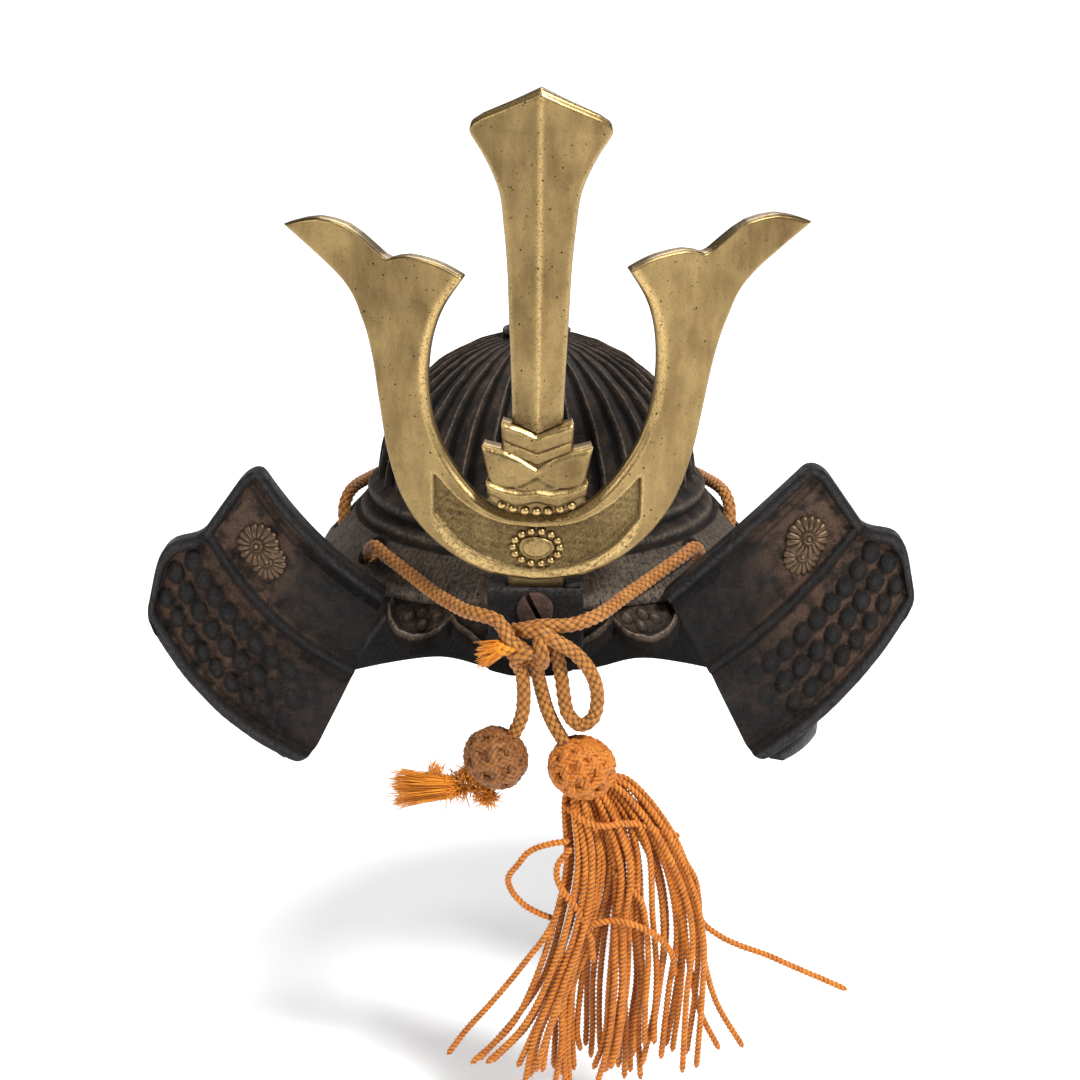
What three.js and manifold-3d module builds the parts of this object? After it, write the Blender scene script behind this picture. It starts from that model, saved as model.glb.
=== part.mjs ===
// Ornamental samurai helmet: an iron bowl with its peak, neck guard and two turnbacks,
// a brass crest screwed on at the front, and a braided tie cord that ends in a tassel.
// Millimetres, +Z up, the front faces -Y. The pieces are laid out from the crest of the
// bowl's lower moulding, and the whole is then lowered so that the origin is the bowl's inner crown.
import * as THREE from 'three';
import { mergeVertices } from 'three/addons/utils/BufferGeometryUtils.js';
import Module from 'manifold-3d';

const wasm = await Module();
wasm.setup();

// Common clearance between pieces that touch
const gap = 0.3;

// Bowl
const bowlHalfWidth = 49;
const bowlHalfDepth = 56;
const bowlHeight = 50;
const bowlWall = 3;
const bowlFullness = 2;
const domeInset = 3;
const ribCount = 32;
const ribRelief = 0.9;
const plainGoreAngle = 26;
const mouldingProud = 2.8;
const flangeStart = 5;
const flangeDrop = 2;
const flangeReach = 15;
const flangeThickness = 3;
const flangeSeat = flangeThickness + 3 * gap;
const frontSlope = 0.78;
const sideSlope = 1.1;
const knobRadius = 10;
const knobHeight = 5;

// Peak
const peakThickness = 3.5;
const peakTuck = 5;
const peakSlope = 0.58;
const peakReach = 30;
const peakHalfAngle = 38;
const peakRim = 1;
const starRadius = 1.5;

// Neck guard
const guardTuck = 2;
const guardWall = 3;
const guardRimHalfWidth = 84;
const guardRimHalfDepth = 92;
const guardRimShift = -2;
const guardDepth = 68;
const guardTilt = 0.115;
const guardRearDrop = 7;
const guardRearSpan = 27;
const lameStep = 1.6;

// Turnbacks
const turnbackFront = -bowlHalfDepth - 5.5;
const turnbackThickness = 4.5;
const turnbackSweep = 0.004;
const turnbackSweepStart = 45;
const turnbackRim = 2.2;
const bumpLength = 5;
const bumpWidth = 3.6;
const bumpHeight = 1.3;
const flowerRadius = 5.4;
const flowerThickness = 1.6;
const petalCount = 16;

// Crest
const crestOffset = 1.2;
const crestRoll = 0.75;
const crestLean = 5;
const crestDepth = -bowlHalfDepth - 22;
const crestBase = -10;
const crestBend = 85;
const crestFlatFrom = 31;
const hornThickness = 4;
const recessDepth = 1.3;
const tangWidth = 14;
const tangLength = 12;
const tangThickness = 3.6;
const bladeEdge = 2.6;
const bladeRidge = 5.4;
const socketThickness = 4;
const medallionWidth = 13.8;
const medallionHeight = 11.1;
const medallionThickness = 1.4;
const beadRadius = 1.3;
const beadCount = 14;
const holderWidth = 25;
const holderTop = -1.8;
const holderFront = -bowlHalfDepth - 29.5;
const holderBack = -bowlHalfDepth - 16.5;
const screwRadius = 4.8;
const screwHead = 1.7;
const screwShaft = 2.5;
const screwDrop = 5.6;
const slotWidth = 1.1;
const slotTurn = 63;

// Cord and tassel
const cordDiameter = 3.6;
const cordSides = 8;
const holeRadius = 3.6;
const ballRadius = 8.4;
const headRadius = 9;
const hangDepth = -92;

// Materials, as the photographed piece shows them
function finish(color, roughness, metalness) {
  return new THREE.MeshStandardMaterial({ color, roughness, metalness, flatShading: true });
}

const ironBrown = finish(0x4a3c32, 0.8, 0.5);
const ironBlack = finish(0x25221f, 0.65, 0.5);
const brassDull = finish(0x9c8454, 0.45, 0.9);
const brassDark = finish(0x7a6248, 0.6, 0.7);
const screwIron = finish(0x5e463c, 0.7, 0.5);
const cordOrange = finish(0xc9822f, 0.9, 0);
const frayOrange = finish(0xf0921c, 0.9, 0);

const rad = THREE.MathUtils.degToRad;
const lerp = THREE.MathUtils.lerp;
const smooth = THREE.MathUtils.smoothstep;

// Value at x of a table of [x, value] rows, straight between the rows
function along(rows, x) {
  const last = rows.length - 1;
  if (x <= rows[0][0]) return rows[0][1];
  if (x >= rows[last][0]) return rows[last][1];
  const i = rows.findIndex((row) => row[0] > x);
  const [x0, y0] = rows[i - 1];
  const [x1, y1] = rows[i];
  return lerp(y0, y1, (x - x0) / (x1 - x0));
}

// Evenly spread numbers from a to b
function steps(a, b, count) {
  return Array.from({ length: count + 1 }, (_, i) => lerp(a, b, i / count));
}

function dropAttributes(geometry) {
  const bare = geometry.clone();
  bare.deleteAttribute('normal');
  bare.deleteAttribute('uv');
  return bare;
}

function signedVolume(geometry) {
  const p = geometry.attributes.position;
  const index = geometry.index.array;
  const a = new THREE.Vector3();
  const b = new THREE.Vector3();
  const c = new THREE.Vector3();
  let sum = 0;
  for (let i = 0; i < index.length; i += 3) {
    a.fromBufferAttribute(p, index[i]);
    b.fromBufferAttribute(p, index[i + 1]);
    c.fromBufferAttribute(p, index[i + 2]);
    sum += a.dot(b.cross(c)) / 6;
  }
  return sum;
}

// Indexed geometry from points and triangles, its faces turned outwards
function body(points, triangles) {
  const geometry = new THREE.BufferGeometry();
  geometry.setFromPoints(points);
  geometry.setIndex(triangles.flat());
  if (signedVolume(geometry) < 0) {
    geometry.setIndex(triangles.flatMap(([a, b, c]) => [a, c, b]));
  }
  return geometry;
}

function toSolid(geometry) {
  const merged = mergeVertices(dropAttributes(geometry), 1e-4);
  return new wasm.Manifold(new wasm.Mesh({
    numProp: 3,
    vertProperties: merged.attributes.position.array,
    triVerts: new Uint32Array(merged.index.array),
  }));
}

function fromSolid(solid) {
  const mesh = solid.getMesh();
  const geometry = new THREE.BufferGeometry();
  geometry.setAttribute('position', new THREE.BufferAttribute(mesh.vertProperties, 3));
  geometry.setIndex(new THREE.BufferAttribute(mesh.triVerts, 1));
  return geometry;
}

function join(geometries) {
  return fromSolid(geometries.map(toSolid).reduce((sum, next) => sum.add(next)));
}

function cut(geometry, cutters) {
  return fromSolid(cutters.map(toSolid).reduce((rest, next) => rest.subtract(next), toSolid(geometry)));
}

// Triangles between two lists of point numbers that may differ in length
function zip(a, b) {
  const triangles = [];
  let i = 0;
  let j = 0;
  while (i < a.length - 1 || j < b.length - 1) {
    const nextA = i < a.length - 1 ? (i + 1) / (a.length - 1) : 2;
    const nextB = j < b.length - 1 ? (j + 1) / (b.length - 1) : 2;
    if (nextA <= nextB) {
      triangles.push([a[i], a[i + 1], b[j]]);
      i += 1;
    } else {
      triangles.push([a[i], b[j + 1], b[j]]);
      j += 1;
    }
  }
  return triangles.filter(([p, q, r]) => p !== q && q !== r && r !== p);
}

// Closed shell between an outer and an inner grid of points, rows running the same way
function shell(outerRows, innerRows) {
  const points = [];
  const number = (rows) => rows.map((row) => row.map((point) => points.push(point) - 1));
  const outer = number(outerRows);
  const inner = number(innerRows);
  const triangles = [];
  const skin = (rows, flip) => {
    for (let i = 0; i < rows.length - 1; i += 1) {
      triangles.push(...zip(rows[i], rows[i + 1]).map(([a, b, c]) => (flip ? [a, c, b] : [a, b, c])));
    }
  };
  const column = (rows, k) => rows.map((row) => row[k]);
  const last = outer[0].length - 1;
  skin(outer, false);
  skin(inner, true);
  triangles.push(...zip(inner[0], outer[0]));
  triangles.push(...zip(outer[outer.length - 1], inner[inner.length - 1]));
  triangles.push(...zip(column(outer, 0), column(inner, 0)));
  triangles.push(...zip(column(inner, last), column(outer, last)));
  return body(points, triangles);
}

// Closed body through rings of points, with a centre point at each end
function loft(rings) {
  const points = rings.flat();
  const size = rings[0].length;
  const triangles = [];
  for (let i = 0; i < rings.length - 1; i += 1) {
    for (let k = 0; k < size; k += 1) {
      const a = i * size + k;
      const b = i * size + (k + 1) % size;
      triangles.push([a, b, a + size], [b, b + size, a + size]);
    }
  }
  const centre = (ring) => ring.reduce((sum, p) => sum.add(p), new THREE.Vector3()).divideScalar(size);
  const first = points.push(centre(rings[0])) - 1;
  const last = points.push(centre(rings[rings.length - 1])) - 1;
  const end = (rings.length - 1) * size;
  for (let k = 0; k < size; k += 1) {
    triangles.push([first, (k + 1) % size, k], [last, end + k, end + (k + 1) % size]);
  }
  return body(points, triangles);
}

function mesh(name, geometry, material) {
  geometry.computeVertexNormals();
  const piece = new THREE.Mesh(geometry, material);
  piece.name = name;
  return piece;
}

// Bowl plan: an ellipse, widened by an offset; angle 0 is the front, 90 is +X
function bowlPoint(angle, offset, z) {
  const a = rad(angle);
  return new THREE.Vector3((bowlHalfWidth + offset) * Math.sin(a), -(bowlHalfDepth + offset) * Math.cos(a), z);
}

function flangeTop(angle, offset) {
  const slope = lerp(frontSlope, sideSlope, Math.sin(rad(angle)) ** 2);
  return -flangeDrop - (offset - flangeStart) * slope;
}

// Each rib is an overlapping plate: a groove, a raised lip, then a slope down to the next groove
const ribProfile = [
  { phase: 0, lift: -1 },
  { phase: 0.3, lift: 1 },
];
const ribFoot = 6;
const mouldingRows = [
  { offset: 0.2, z: 5 },
  { offset: -0.3, z: 2.4 },
  { offset: mouldingProud, z: 0.2 },
  { offset: 3.4, z: -1.6 },
];

function bowlAngles() {
  const ribbed = 360 - plainGoreAngle;
  const angles = [{ angle: 0, lift: 0 }, { angle: plainGoreAngle / 4, lift: 0 }];
  for (let i = 0; i < ribCount; i += 1) {
    const mirror = i >= ribCount / 2;
    const row = ribProfile.map(({ phase, lift }) => {
      const share = (i + (mirror ? 1 - phase : phase)) / ribCount;
      return { angle: plainGoreAngle / 2 + ribbed * share, lift };
    });
    angles.push(...(mirror ? row.reverse() : row));
  }
  angles.push({ angle: 360 - plainGoreAngle / 4, lift: 0 });
  return angles;
}

function domeRow(columns, climb, halfWidth, halfDepth, height, relief) {
  const r = Math.cos(rad(climb)) ** (2 / bowlFullness);
  const z = ribFoot + (height - ribFoot) * Math.sin(rad(climb)) ** (2 / bowlFullness);
  return columns.map(({ angle, lift }) => {
    const swell = lift * relief * Math.min(1, r * 1.6);
    const a = rad(angle);
    return new THREE.Vector3((halfWidth * r + swell) * Math.sin(a), -(halfDepth * r + swell) * Math.cos(a), z);
  });
}

const climbs = [88, 67, 48, 31, 16, 4];

function bowlOuter() {
  const columns = bowlAngles();
  const dome = [bowlHalfWidth - domeInset, bowlHalfDepth - domeInset, bowlHeight];
  const rows = climbs.map((climb) => domeRow(columns, climb, ...dome, ribRelief));
  mouldingRows.forEach(({ offset, z }) => rows.push(columns.map(({ angle }) => bowlPoint(angle, offset, z))));
  [flangeStart, flangeReach].forEach((offset) => {
    rows.push(columns.map(({ angle }) => bowlPoint(angle, offset, flangeTop(angle, offset))));
  });
  rows.push(columns.map(({ angle }) => {
    return bowlPoint(angle, flangeReach, flangeTop(angle, flangeReach) - flangeThickness - 2);
  }));
  return loft(rows);
}

function bowlHollow() {
  const columns = steps(0, 360, 28).slice(0, -1).map((angle) => ({ angle, lift: 0 }));
  const inset = domeInset + bowlWall;
  const inner = [bowlHalfWidth - inset, bowlHalfDepth - inset, bowlHeight - bowlWall];
  const rows = [78, 55, 32, 10].map((climb) => domeRow(columns, climb, ...inner, 0));
  rows.push(columns.map(({ angle }) => bowlPoint(angle, -bowlWall, 1)));
  [1, 8, flangeReach + 4].forEach((offset) => {
    rows.push(columns.map(({ angle }) => bowlPoint(angle, offset, flangeTop(angle, offset) - flangeThickness)));
  });
  rows.push(columns.map(({ angle }) => bowlPoint(angle, flangeReach + 4, -60)));
  return loft(rows);
}

// Cord holes through the flange: plan angle, offset from the bowl, and how long the slot is
const cordHoles = [
  { angle: 53, offset: 8.2, stretch: 1.25 },
  { angle: 91, offset: 8.4, stretch: 1.6 },
];

function holeCutter({ angle, offset, stretch }, side) {
  const cutter = new THREE.CylinderGeometry(holeRadius, holeRadius, 30, 12);
  cutter.rotateX(Math.PI / 2);
  cutter.scale(1, stretch, 1);
  cutter.rotateZ(rad(side * (angle - 90)));
  const centre = bowlPoint(side * angle, offset, 0);
  cutter.translate(centre.x, centre.y, -8);
  return cutter;
}

function bowl() {
  const holes = [-1, 1].flatMap((side) => cordHoles.map((hole) => holeCutter(hole, side)));
  return mesh('bowl', cut(bowlOuter(), [bowlHollow(), ...holes]), ironBrown);
}

// Crown knob: a low stepped boss on the bowl's top
function crownKnob() {
  const seat = bowlHeight + gap + 0.1;
  const profile = [
    [0, 0], [1, 0], [1, 0.1], [0.86, 0.35], [0.72, 0.4], [0.62, 0.75], [0.4, 0.95], [0, 1],
  ];
  const points = profile.map(([r, h]) => new THREE.Vector2(r * knobRadius, seat + h * knobHeight));
  const knob = mergeVertices(dropAttributes(new THREE.LatheGeometry(points, 18)));
  knob.rotateX(Math.PI / 2);
  return mesh('crown_knob', knob, ironBrown);
}

// Peak: scalloped edge, in shares of the half angle and of the peak's reach
const scallops = [
  { angle: 0, reach: 1 },
  { angle: 0.12, reach: 0.99 },
  { angle: 0.21, reach: 0.95 },
  { angle: 0.28, reach: 0.88 },
  { angle: 0.44, reach: 0.73 },
  { angle: 0.5, reach: 0.63 },
  { angle: 0.54, reach: 0.76 },
  { angle: 0.6, reach: 0.84 },
  { angle: 0.69, reach: 0.875 },
  { angle: 0.78, reach: 0.84 },
  { angle: 0.89, reach: 0.73 },
  { angle: 1, reach: 0.57 },
];
const scallopRows = scallops.map(({ angle, reach }) => [angle, reach]);

// The peak starts under the flange and flattens once it is clear of it
function peakTop(angle, offset) {
  const tucked = flangeTop(angle, Math.min(offset, flangeReach)) - flangeSeat;
  return tucked - Math.max(0, offset - flangeReach) * peakSlope;
}

function peakRow(share, sink, rim, grow = 0) {
  const turns = steps(-1, 1, 32);
  const inner = flangeReach - peakTuck - grow;
  return turns.map((turn) => {
    const angle = turn * (peakHalfAngle + grow);
    const edge = peakReach * along(scallopRows, Math.abs(turn)) + grow;
    const offset = share < 0.2 ? lerp(inner, flangeReach, share / 0.2) : lerp(flangeReach, edge, (share - 0.2) / 0.8);
    return bowlPoint(angle, offset, peakTop(angle, offset) - sink + rim);
  });
}

// Clusters of small domes on the peak: plan angle and offset of each
const peakStars = [
  { angle: 22.6, offset: 17.5 },
  { angle: 27, offset: 16.8 },
  { angle: 25.2, offset: 20.3 },
  { angle: 29.6, offset: 18.6 },
];

function dome(radius, lift) {
  const ball = new THREE.IcosahedronGeometry(radius, 0);
  ball.scale(1, 1, lift);
  return ball;
}

function peak() {
  const top = [peakRow(0, 0, 0), peakRow(0.2, 0, 0), peakRow(0.8, 0, 0)];
  top.push(peakRow(0.88, 0, peakRim), peakRow(1, 0, peakRim * 0.5));
  const under = [0, 0.2, 1].map((share) => peakRow(share, peakThickness, 0));
  const stars = [-1, 1].flatMap((side) => peakStars.map(({ angle, offset }) => {
    const centre = bowlPoint(side * angle, offset, peakTop(angle, offset));
    return dome(starRadius, 0.7).translate(centre.x, centre.y, centre.z);
  }));
  return mesh('peak', join([shell(top, under), ...stars]), ironBrown);
}

// Neck guard: two lames round the back, its front ends close behind the turnbacks.
// Rows: share of the depth, and how proud the surface stands.
const lames = [
  { depth: 0, proud: 0 },
  { depth: 0.42, proud: 0.4 },
  { depth: 0.46, proud: 1 },
  { depth: 0.5, proud: 1 },
  { depth: 0.51, proud: 0 },
  { depth: 0.9, proud: 0.2 },
  { depth: 0.93, proud: 1.2 },
  { depth: 1, proud: 1.2 },
];

// Plan angle where the guard's front end meets the back of a turnback, closed in on by steps
function guardStart(a, b, shift) {
  let start = 0.6;
  for (let i = 0; i < 12; i += 1) {
    const endY = turnbackDepth(a * Math.sin(start)) + turnbackThickness + 2 * gap;
    start = Math.acos((shift - endY) / b);
  }
  return start;
}

function guardPoint(turn, depth, proud) {
  const spread = depth ** 0.9;
  const topOffset = flangeReach - guardTuck;
  const a = lerp(bowlHalfWidth + topOffset, guardRimHalfWidth, spread) + proud;
  const b = lerp(bowlHalfDepth + topOffset, guardRimHalfDepth, spread) + proud;
  const shift = guardRimShift * spread;
  const start = guardStart(a, b, shift);
  const angle = lerp(start, 2 * Math.PI - start, turn);
  const x = a * Math.sin(angle);
  const y = shift - b * Math.cos(angle);
  const plan = THREE.MathUtils.radToDeg(Math.atan2(x / a, -(y - shift) / b));
  const high = flangeTop(plan, topOffset) - flangeSeat;
  const low = -guardDepth - guardTilt * y - guardRearDrop * Math.exp(-((x / guardRearSpan) ** 4));
  return new THREE.Vector3(x, y, lerp(high, low, depth));
}

function neckGuard() {
  const turns = steps(0, 1, 30);
  const outside = lames.map(({ depth, proud }) => turns.map((turn) => guardPoint(turn, depth, proud * lameStep)));
  const inside = [0, 0.3, 1].map((depth) => turns.map((turn) => guardPoint(turn, depth, -guardWall)));
  return mesh('neck_guard', cut(shell(outside, inside), [peakClearance()]), ironBlack);
}

// Turnbacks: corners seen from the front as [x, z], the arch of each long edge, and corner radii.
// The rough casting differs from side to side.
const turnbacks = {
  left: {
    side: -1,
    topInner: [40, -10.3],
    topOuter: [75, 26],
    ridgeInner: [49.3, -34],
    notch: [90.3, 4.8],
    lowInner: [63, -61.5],
    lowOuter: [111.8, -17.3],
    arch: [2.7, 5, 7],
  },
  right: {
    side: 1,
    topInner: [36, -10.5],
    topOuter: [76.5, 27],
    ridgeInner: [48.8, -33],
    notch: [90, 7.4],
    lowInner: [62, -60.3],
    lowOuter: [109.3, -11.4],
    arch: [0, 2.5, 5],
  },
};
const ridgeShare = 0.5;
const topCorner = 5;
const lowCorner = 9;

// Relief of the front across both lames: share of the way down, height
const turnbackRelief = [
  [0, 1], [0.065, 1], [0.085, 0.45], [0.145, 0.4], [0.165, 0],
  [0.43, 0], [0.455, 0.75], [0.495, 0.75], [0.515, -0.35], [0.56, 0],
  [0.915, 0], [0.935, 1], [1, 1],
];

function turnbackDepth(x) {
  return turnbackFront + turnbackSweep * Math.max(0, Math.abs(x) - turnbackSweepStart) ** 2;
}

function turnbackPlace(spec, u, v) {
  const upper = v <= ridgeShare;
  const local = upper ? v / ridgeShare : (v - ridgeShare) / (1 - ridgeShare);
  const ends = upper
    ? [spec.topInner, spec.ridgeInner, spec.topOuter, spec.notch]
    : [spec.ridgeInner, spec.lowInner, spec.notch, spec.lowOuter];
  const arch = upper ? lerp(spec.arch[0], spec.arch[1], local) : lerp(spec.arch[1], spec.arch[2], local);
  const start = new THREE.Vector2(...ends[0]).lerp(new THREE.Vector2(...ends[1]), local);
  const end = new THREE.Vector2(...ends[2]).lerp(new THREE.Vector2(...ends[3]), local);
  const length = end.distanceTo(start);
  const belly = upper ? 0 : 4 * Math.sin(Math.PI * Math.min(1, local * 1.1)) ** 2;
  const corner = (radius, away) => {
    const inside = Math.max(0, radius - away);
    return radius - Math.sqrt(Math.max(0, radius * radius - inside * inside));
  };
  const height = length * 0.28;
  const inset = upper ? corner(topCorner, local * height) : corner(lowCorner, (1 - local) * height) - belly;
  const way = u * (1 - inset / length);
  const across = end.clone().sub(start).normalize();
  const down = new THREE.Vector2(across.y, -across.x);
  return start.lerp(end, way).addScaledVector(down, arch * 4 * way * (1 - way));
}

function turnbackPoint(spec, u, v, proud) {
  const place = turnbackPlace(spec, u, v);
  return new THREE.Vector3(spec.side * place.x, turnbackDepth(place.x) - proud, place.y);
}

function turnbackNormal(spec, x) {
  const slope = 2 * turnbackSweep * Math.max(0, x - turnbackSweepStart);
  return new THREE.Vector3(spec.side * slope, -1, 0).normalize();
}

const rimStart = 0.925;

function turnbackProud(u, v) {
  const across = along(turnbackRelief, v);
  const outer = smooth(u, rimStart - 0.02, rimStart);
  return turnbackRim * Math.max(across, outer);
}

// Three rows of oval bumps on the lower lame
const bumpRows = [
  { v: 0.606, first: 0.25, count: 8 },
  { v: 0.733, first: 0.25, count: 8 },
  { v: 0.836, first: 0.25, count: 8 },
];
const bumpEnd = 0.88;

function bumps(spec) {
  return bumpRows.flatMap(({ v, first, count }) => steps(first, bumpEnd, count - 1).map((u) => {
    const centre = turnbackPoint(spec, u, v, 0);
    const next = turnbackPoint(spec, u + 0.02, v, 0);
    const run = next.clone().sub(centre).normalize();
    const out = turnbackNormal(spec, Math.abs(centre.x));
    const ball = new THREE.OctahedronGeometry(1, 0);
    ball.rotateZ(Math.PI / 4);
    ball.scale(bumpLength * 0.62, bumpWidth * 0.62, bumpHeight);
    const side = out.clone().cross(run).normalize();
    ball.applyMatrix4(new THREE.Matrix4().makeBasis(run, side, out));
    return ball.translate(centre.x, centre.y, centre.z);
  }));
}

function turnback(name, spec) {
  const columns = [0, 0.17, 0.34, 0.5, 0.64, 0.78, rimStart - 0.02, rimStart, 1];
  const rows = [...turnbackRelief.map(([v]) => v), 0.3, 0.74, 0.97].sort((a, b) => a - b);
  const front = rows.map((v) => columns.map((u) => turnbackPoint(spec, u, v, turnbackProud(u, v))));
  const backRows = [0, 0.065, 0.3, 0.495, 0.515, 0.74, 0.935, 1];
  const back = backRows.map((v) => columns.map((u) => turnbackPoint(spec, u, v, -turnbackThickness)));
  const plate = join([shell(front, back), ...bumps(spec)]);
  return mesh(name, cut(plate, [flangeClearance(), peakClearance()]), ironBlack);
}

// The flange and the peak grown by the clearance: a turnback's inner top corner stands against both
function flangeClearance() {
  const angles = steps(0, 360, 60).slice(0, -1);
  const edge = flangeReach + 3 * gap;
  const ring = (offset, sink) => angles.map((angle) => bowlPoint(angle, offset, flangeTop(angle, offset) - sink));
  return loft([ring(0, -2 * gap), ring(edge, -2 * gap), ring(edge, flangeSeat), ring(0, flangeSeat)]);
}

function peakClearance() {
  const top = [0, 0.2, 1].map((share) => peakRow(share, 0, peakRim + gap, gap));
  const under = [0, 0.2, 1].map((share) => peakRow(share, peakThickness + gap, 0, gap));
  return shell(top, under);
}

// Round outline with an even ring of lobes
function lobedOutline(radius, count, samples) {
  const points = steps(0, 1, count * samples).slice(0, -1).map((turn) => {
    const lobe = Math.abs(Math.sin(turn * count * Math.PI));
    const r = radius * (0.86 + 0.14 * lobe);
    return new THREE.Vector2(r * Math.cos(turn * 2 * Math.PI), r * Math.sin(turn * 2 * Math.PI));
  });
  return new THREE.Shape(points);
}

// Flower crest: a disc of petals with a hub, and part of a second flower below it
function flower(radius, depth) {
  return new THREE.ExtrudeGeometry(lobedOutline(radius, petalCount, 2), { depth, bevelEnabled: false });
}

const flowerSpots = {
  left: { u: 0.72, v: 0.27, fan: [2.6, -4.4] },
  right: { u: 0.74, v: 0.29, fan: [-1.4, -5.2] },
};

function flowerCrest(name, spec, spot) {
  const disc = flower(flowerRadius, flowerThickness);
  const fan = flower(flowerRadius * 0.9, flowerThickness * 0.7);
  fan.translate(spot.fan[0], spot.fan[1], 0);
  const hub = new THREE.CylinderGeometry(flowerRadius * 0.2, flowerRadius * 0.28, 0.8, 12);
  hub.rotateX(Math.PI / 2);
  hub.translate(0, 0, flowerThickness + 0.2);
  const centre = turnbackPoint(spec, spot.u, spot.v, 0);
  const out = turnbackNormal(spec, Math.abs(centre.x));
  const across = new THREE.Vector3(0, 0, 1).cross(out).normalize();
  const crestFlower = join([disc, fan, hub]);
  const seat = gap + turnbackSweep * flowerRadius * flowerRadius * 3;
  crestFlower.applyMatrix4(new THREE.Matrix4().makeBasis(across, new THREE.Vector3(0, 0, 1), out));
  const place = centre.addScaledVector(out, seat);
  crestFlower.translate(place.x, place.y, place.z);
  return mesh(name, crestFlower, brassDark);
}

// Crest surface: s runs along the bent plate, t up it, and d forward from its back face
function crestPoint(s, t, d) {
  const flat = crestBend * Math.asin(crestFlatFrom / crestBend);
  const arc = Math.min(Math.abs(s), flat) / crestBend;
  const beyond = Math.max(0, Math.abs(s) - flat);
  const x = Math.sign(s) * (crestBend * Math.sin(arc) + beyond * Math.cos(arc) + d * Math.sin(arc));
  const y = crestBend * (1 - Math.cos(arc)) + beyond * Math.sin(arc) - d * Math.cos(arc);
  return new THREE.Vector3(x, y, t);
}

// Bends a geometry drawn flat, with x as s, y as t and z as d
function bendOntoCrest(geometry) {
  const p = geometry.attributes.position;
  for (let i = 0; i < p.count; i += 1) {
    const bent = crestPoint(p.getX(i), p.getY(i), p.getZ(i));
    p.setXYZ(i, bent.x, bent.y, bent.z);
  }
  return geometry;
}

// Horn edges, one row a station from the bottom centre to the tips
const hornInner = [
  [0, 27.7], [7, 28.3], [13.5, 31.3], [19.5, 37.3], [24.5, 44.5],
  [28, 52.5], [29.8, 61], [30.2, 69], [29.4, 77], [27, 84.5], [22, 92.5],
];
const hornOuter = [
  [0, 9.7], [11, 11.2], [20.5, 15.2], [29.3, 21.8], [36, 31],
  [40.3, 43], [43, 56], [45.4, 68], [48.6, 78], [54.5, 88.5], [71.3, 101.6],
];
const hornTop = [
  [0, 0], [0.06, 0.9], [0.16, 1.8], [0.3, 1.5], [0.4, -0.7],
  [0.5, 1.2], [0.66, 4.4], [0.82, 4.2], [0.94, 1.7], [1, 0],
];
// The left horn's end stands further in and lower than the right one's
const leftHornIn = 3.4;
const leftHornDown = 2.4;
const hornStations = 10;

function onCurve(rows, share) {
  const curve = new THREE.SplineCurve(rows.map(([x, y]) => new THREE.Vector2(x, y)));
  return curve.getPoint(share);
}

function hornPlace(station, across) {
  const inner = onCurve(hornInner, station);
  const outer = onCurve(hornOuter, station);
  const place = inner.clone().lerp(outer, across);
  const rise = smooth(station, 0.86, 1) * along(hornTop, across);
  return place.add(new THREE.Vector2(-0.15 * rise, rise));
}

function hornRow(station, side, d) {
  const across = [0, 0.08, 0.22, 0.4, 0.58, 0.78, 0.93, 1];
  const left = side < 0 ? 1 : 0;
  const inwards = left * leftHornIn * smooth(station, 0.25, 1);
  const down = left * leftHornDown * smooth(station, 0.5, 1);
  return across.map((v) => {
    const place = hornPlace(station, v);
    return crestPoint(side * (place.x - inwards), place.y - down, d);
  });
}

// Crescent recess in the front of the horns' foot, in the same two-edge form
const recessInner = [[0, 24.8], [10, 26], [19, 30.8], [25.5, 37.4]];
const recessOuter = [[0, 12.8], [10, 14.2], [19, 18.7], [27, 27.5]];

function recessCutter() {
  const stations = steps(-1, 1, 18);
  const layer = (d) => stations.map((station) => {
    const side = Math.sign(station) || 1;
    const inner = onCurve(recessInner, Math.abs(station));
    const outer = onCurve(recessOuter, Math.abs(station));
    return [inner, outer].map((place) => crestPoint(side * place.x, place.y, d));
  });
  return shell(layer(hornThickness + 2), layer(hornThickness - recessDepth));
}

function horns() {
  const stations = steps(-1, 1, 2 * hornStations);
  const layer = (d) => stations.map((station) => hornRow(Math.abs(station), Math.sign(station) || 1, d));
  const plate = shell(layer(hornThickness), layer(0));
  const tang = new THREE.BoxGeometry(tangWidth, tangLength + 6, tangThickness);
  tang.translate(0, hornOuter[0][1] - tangLength / 2 + 3, hornThickness / 2);
  return mesh('crest_horns', cut(join([plate, bendOntoCrest(tang)]), [recessCutter()]), brassDull);
}

// Medallion: an oval inside a ring of beads, the ring drawn as a lobed rim
function medallion() {
  const seat = hornThickness - recessDepth + gap;
  const middle = (recessInner[0][1] + recessOuter[0][1]) / 2;
  const ring = new THREE.ExtrudeGeometry(lobedOutline(0.5, beadCount, 3), {
    depth: medallionThickness * 0.6,
    bevelEnabled: false,
  });
  ring.scale(medallionWidth, medallionHeight, 1);
  ring.translate(0, middle, seat);
  const oval = new THREE.CylinderGeometry(0.27, 0.3, medallionThickness, 16);
  oval.rotateX(Math.PI / 2);
  oval.scale(medallionWidth, medallionHeight, 1);
  oval.translate(0, middle, seat + medallionThickness / 2 + 0.1);
  return mesh('crest_medallion', bendOntoCrest(join([ring, oval])), brassDull);
}

// Blade: height up the crest and half width of each row
const bladeRows = [
  { t: 53, half: 6.4 },
  { t: 66, half: 6.8 },
  { t: 80, half: 7.4 },
  { t: 94, half: 8 },
  { t: 103, half: 8.8 },
  { t: 112, half: 10 },
  { t: 120, half: 13.4 },
  { t: 126.6, half: 17.6 },
  { t: 129.2, half: 16 },
  { t: 137.6, half: 0.6 },
];
const bladeNotch = 2.4;

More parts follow.
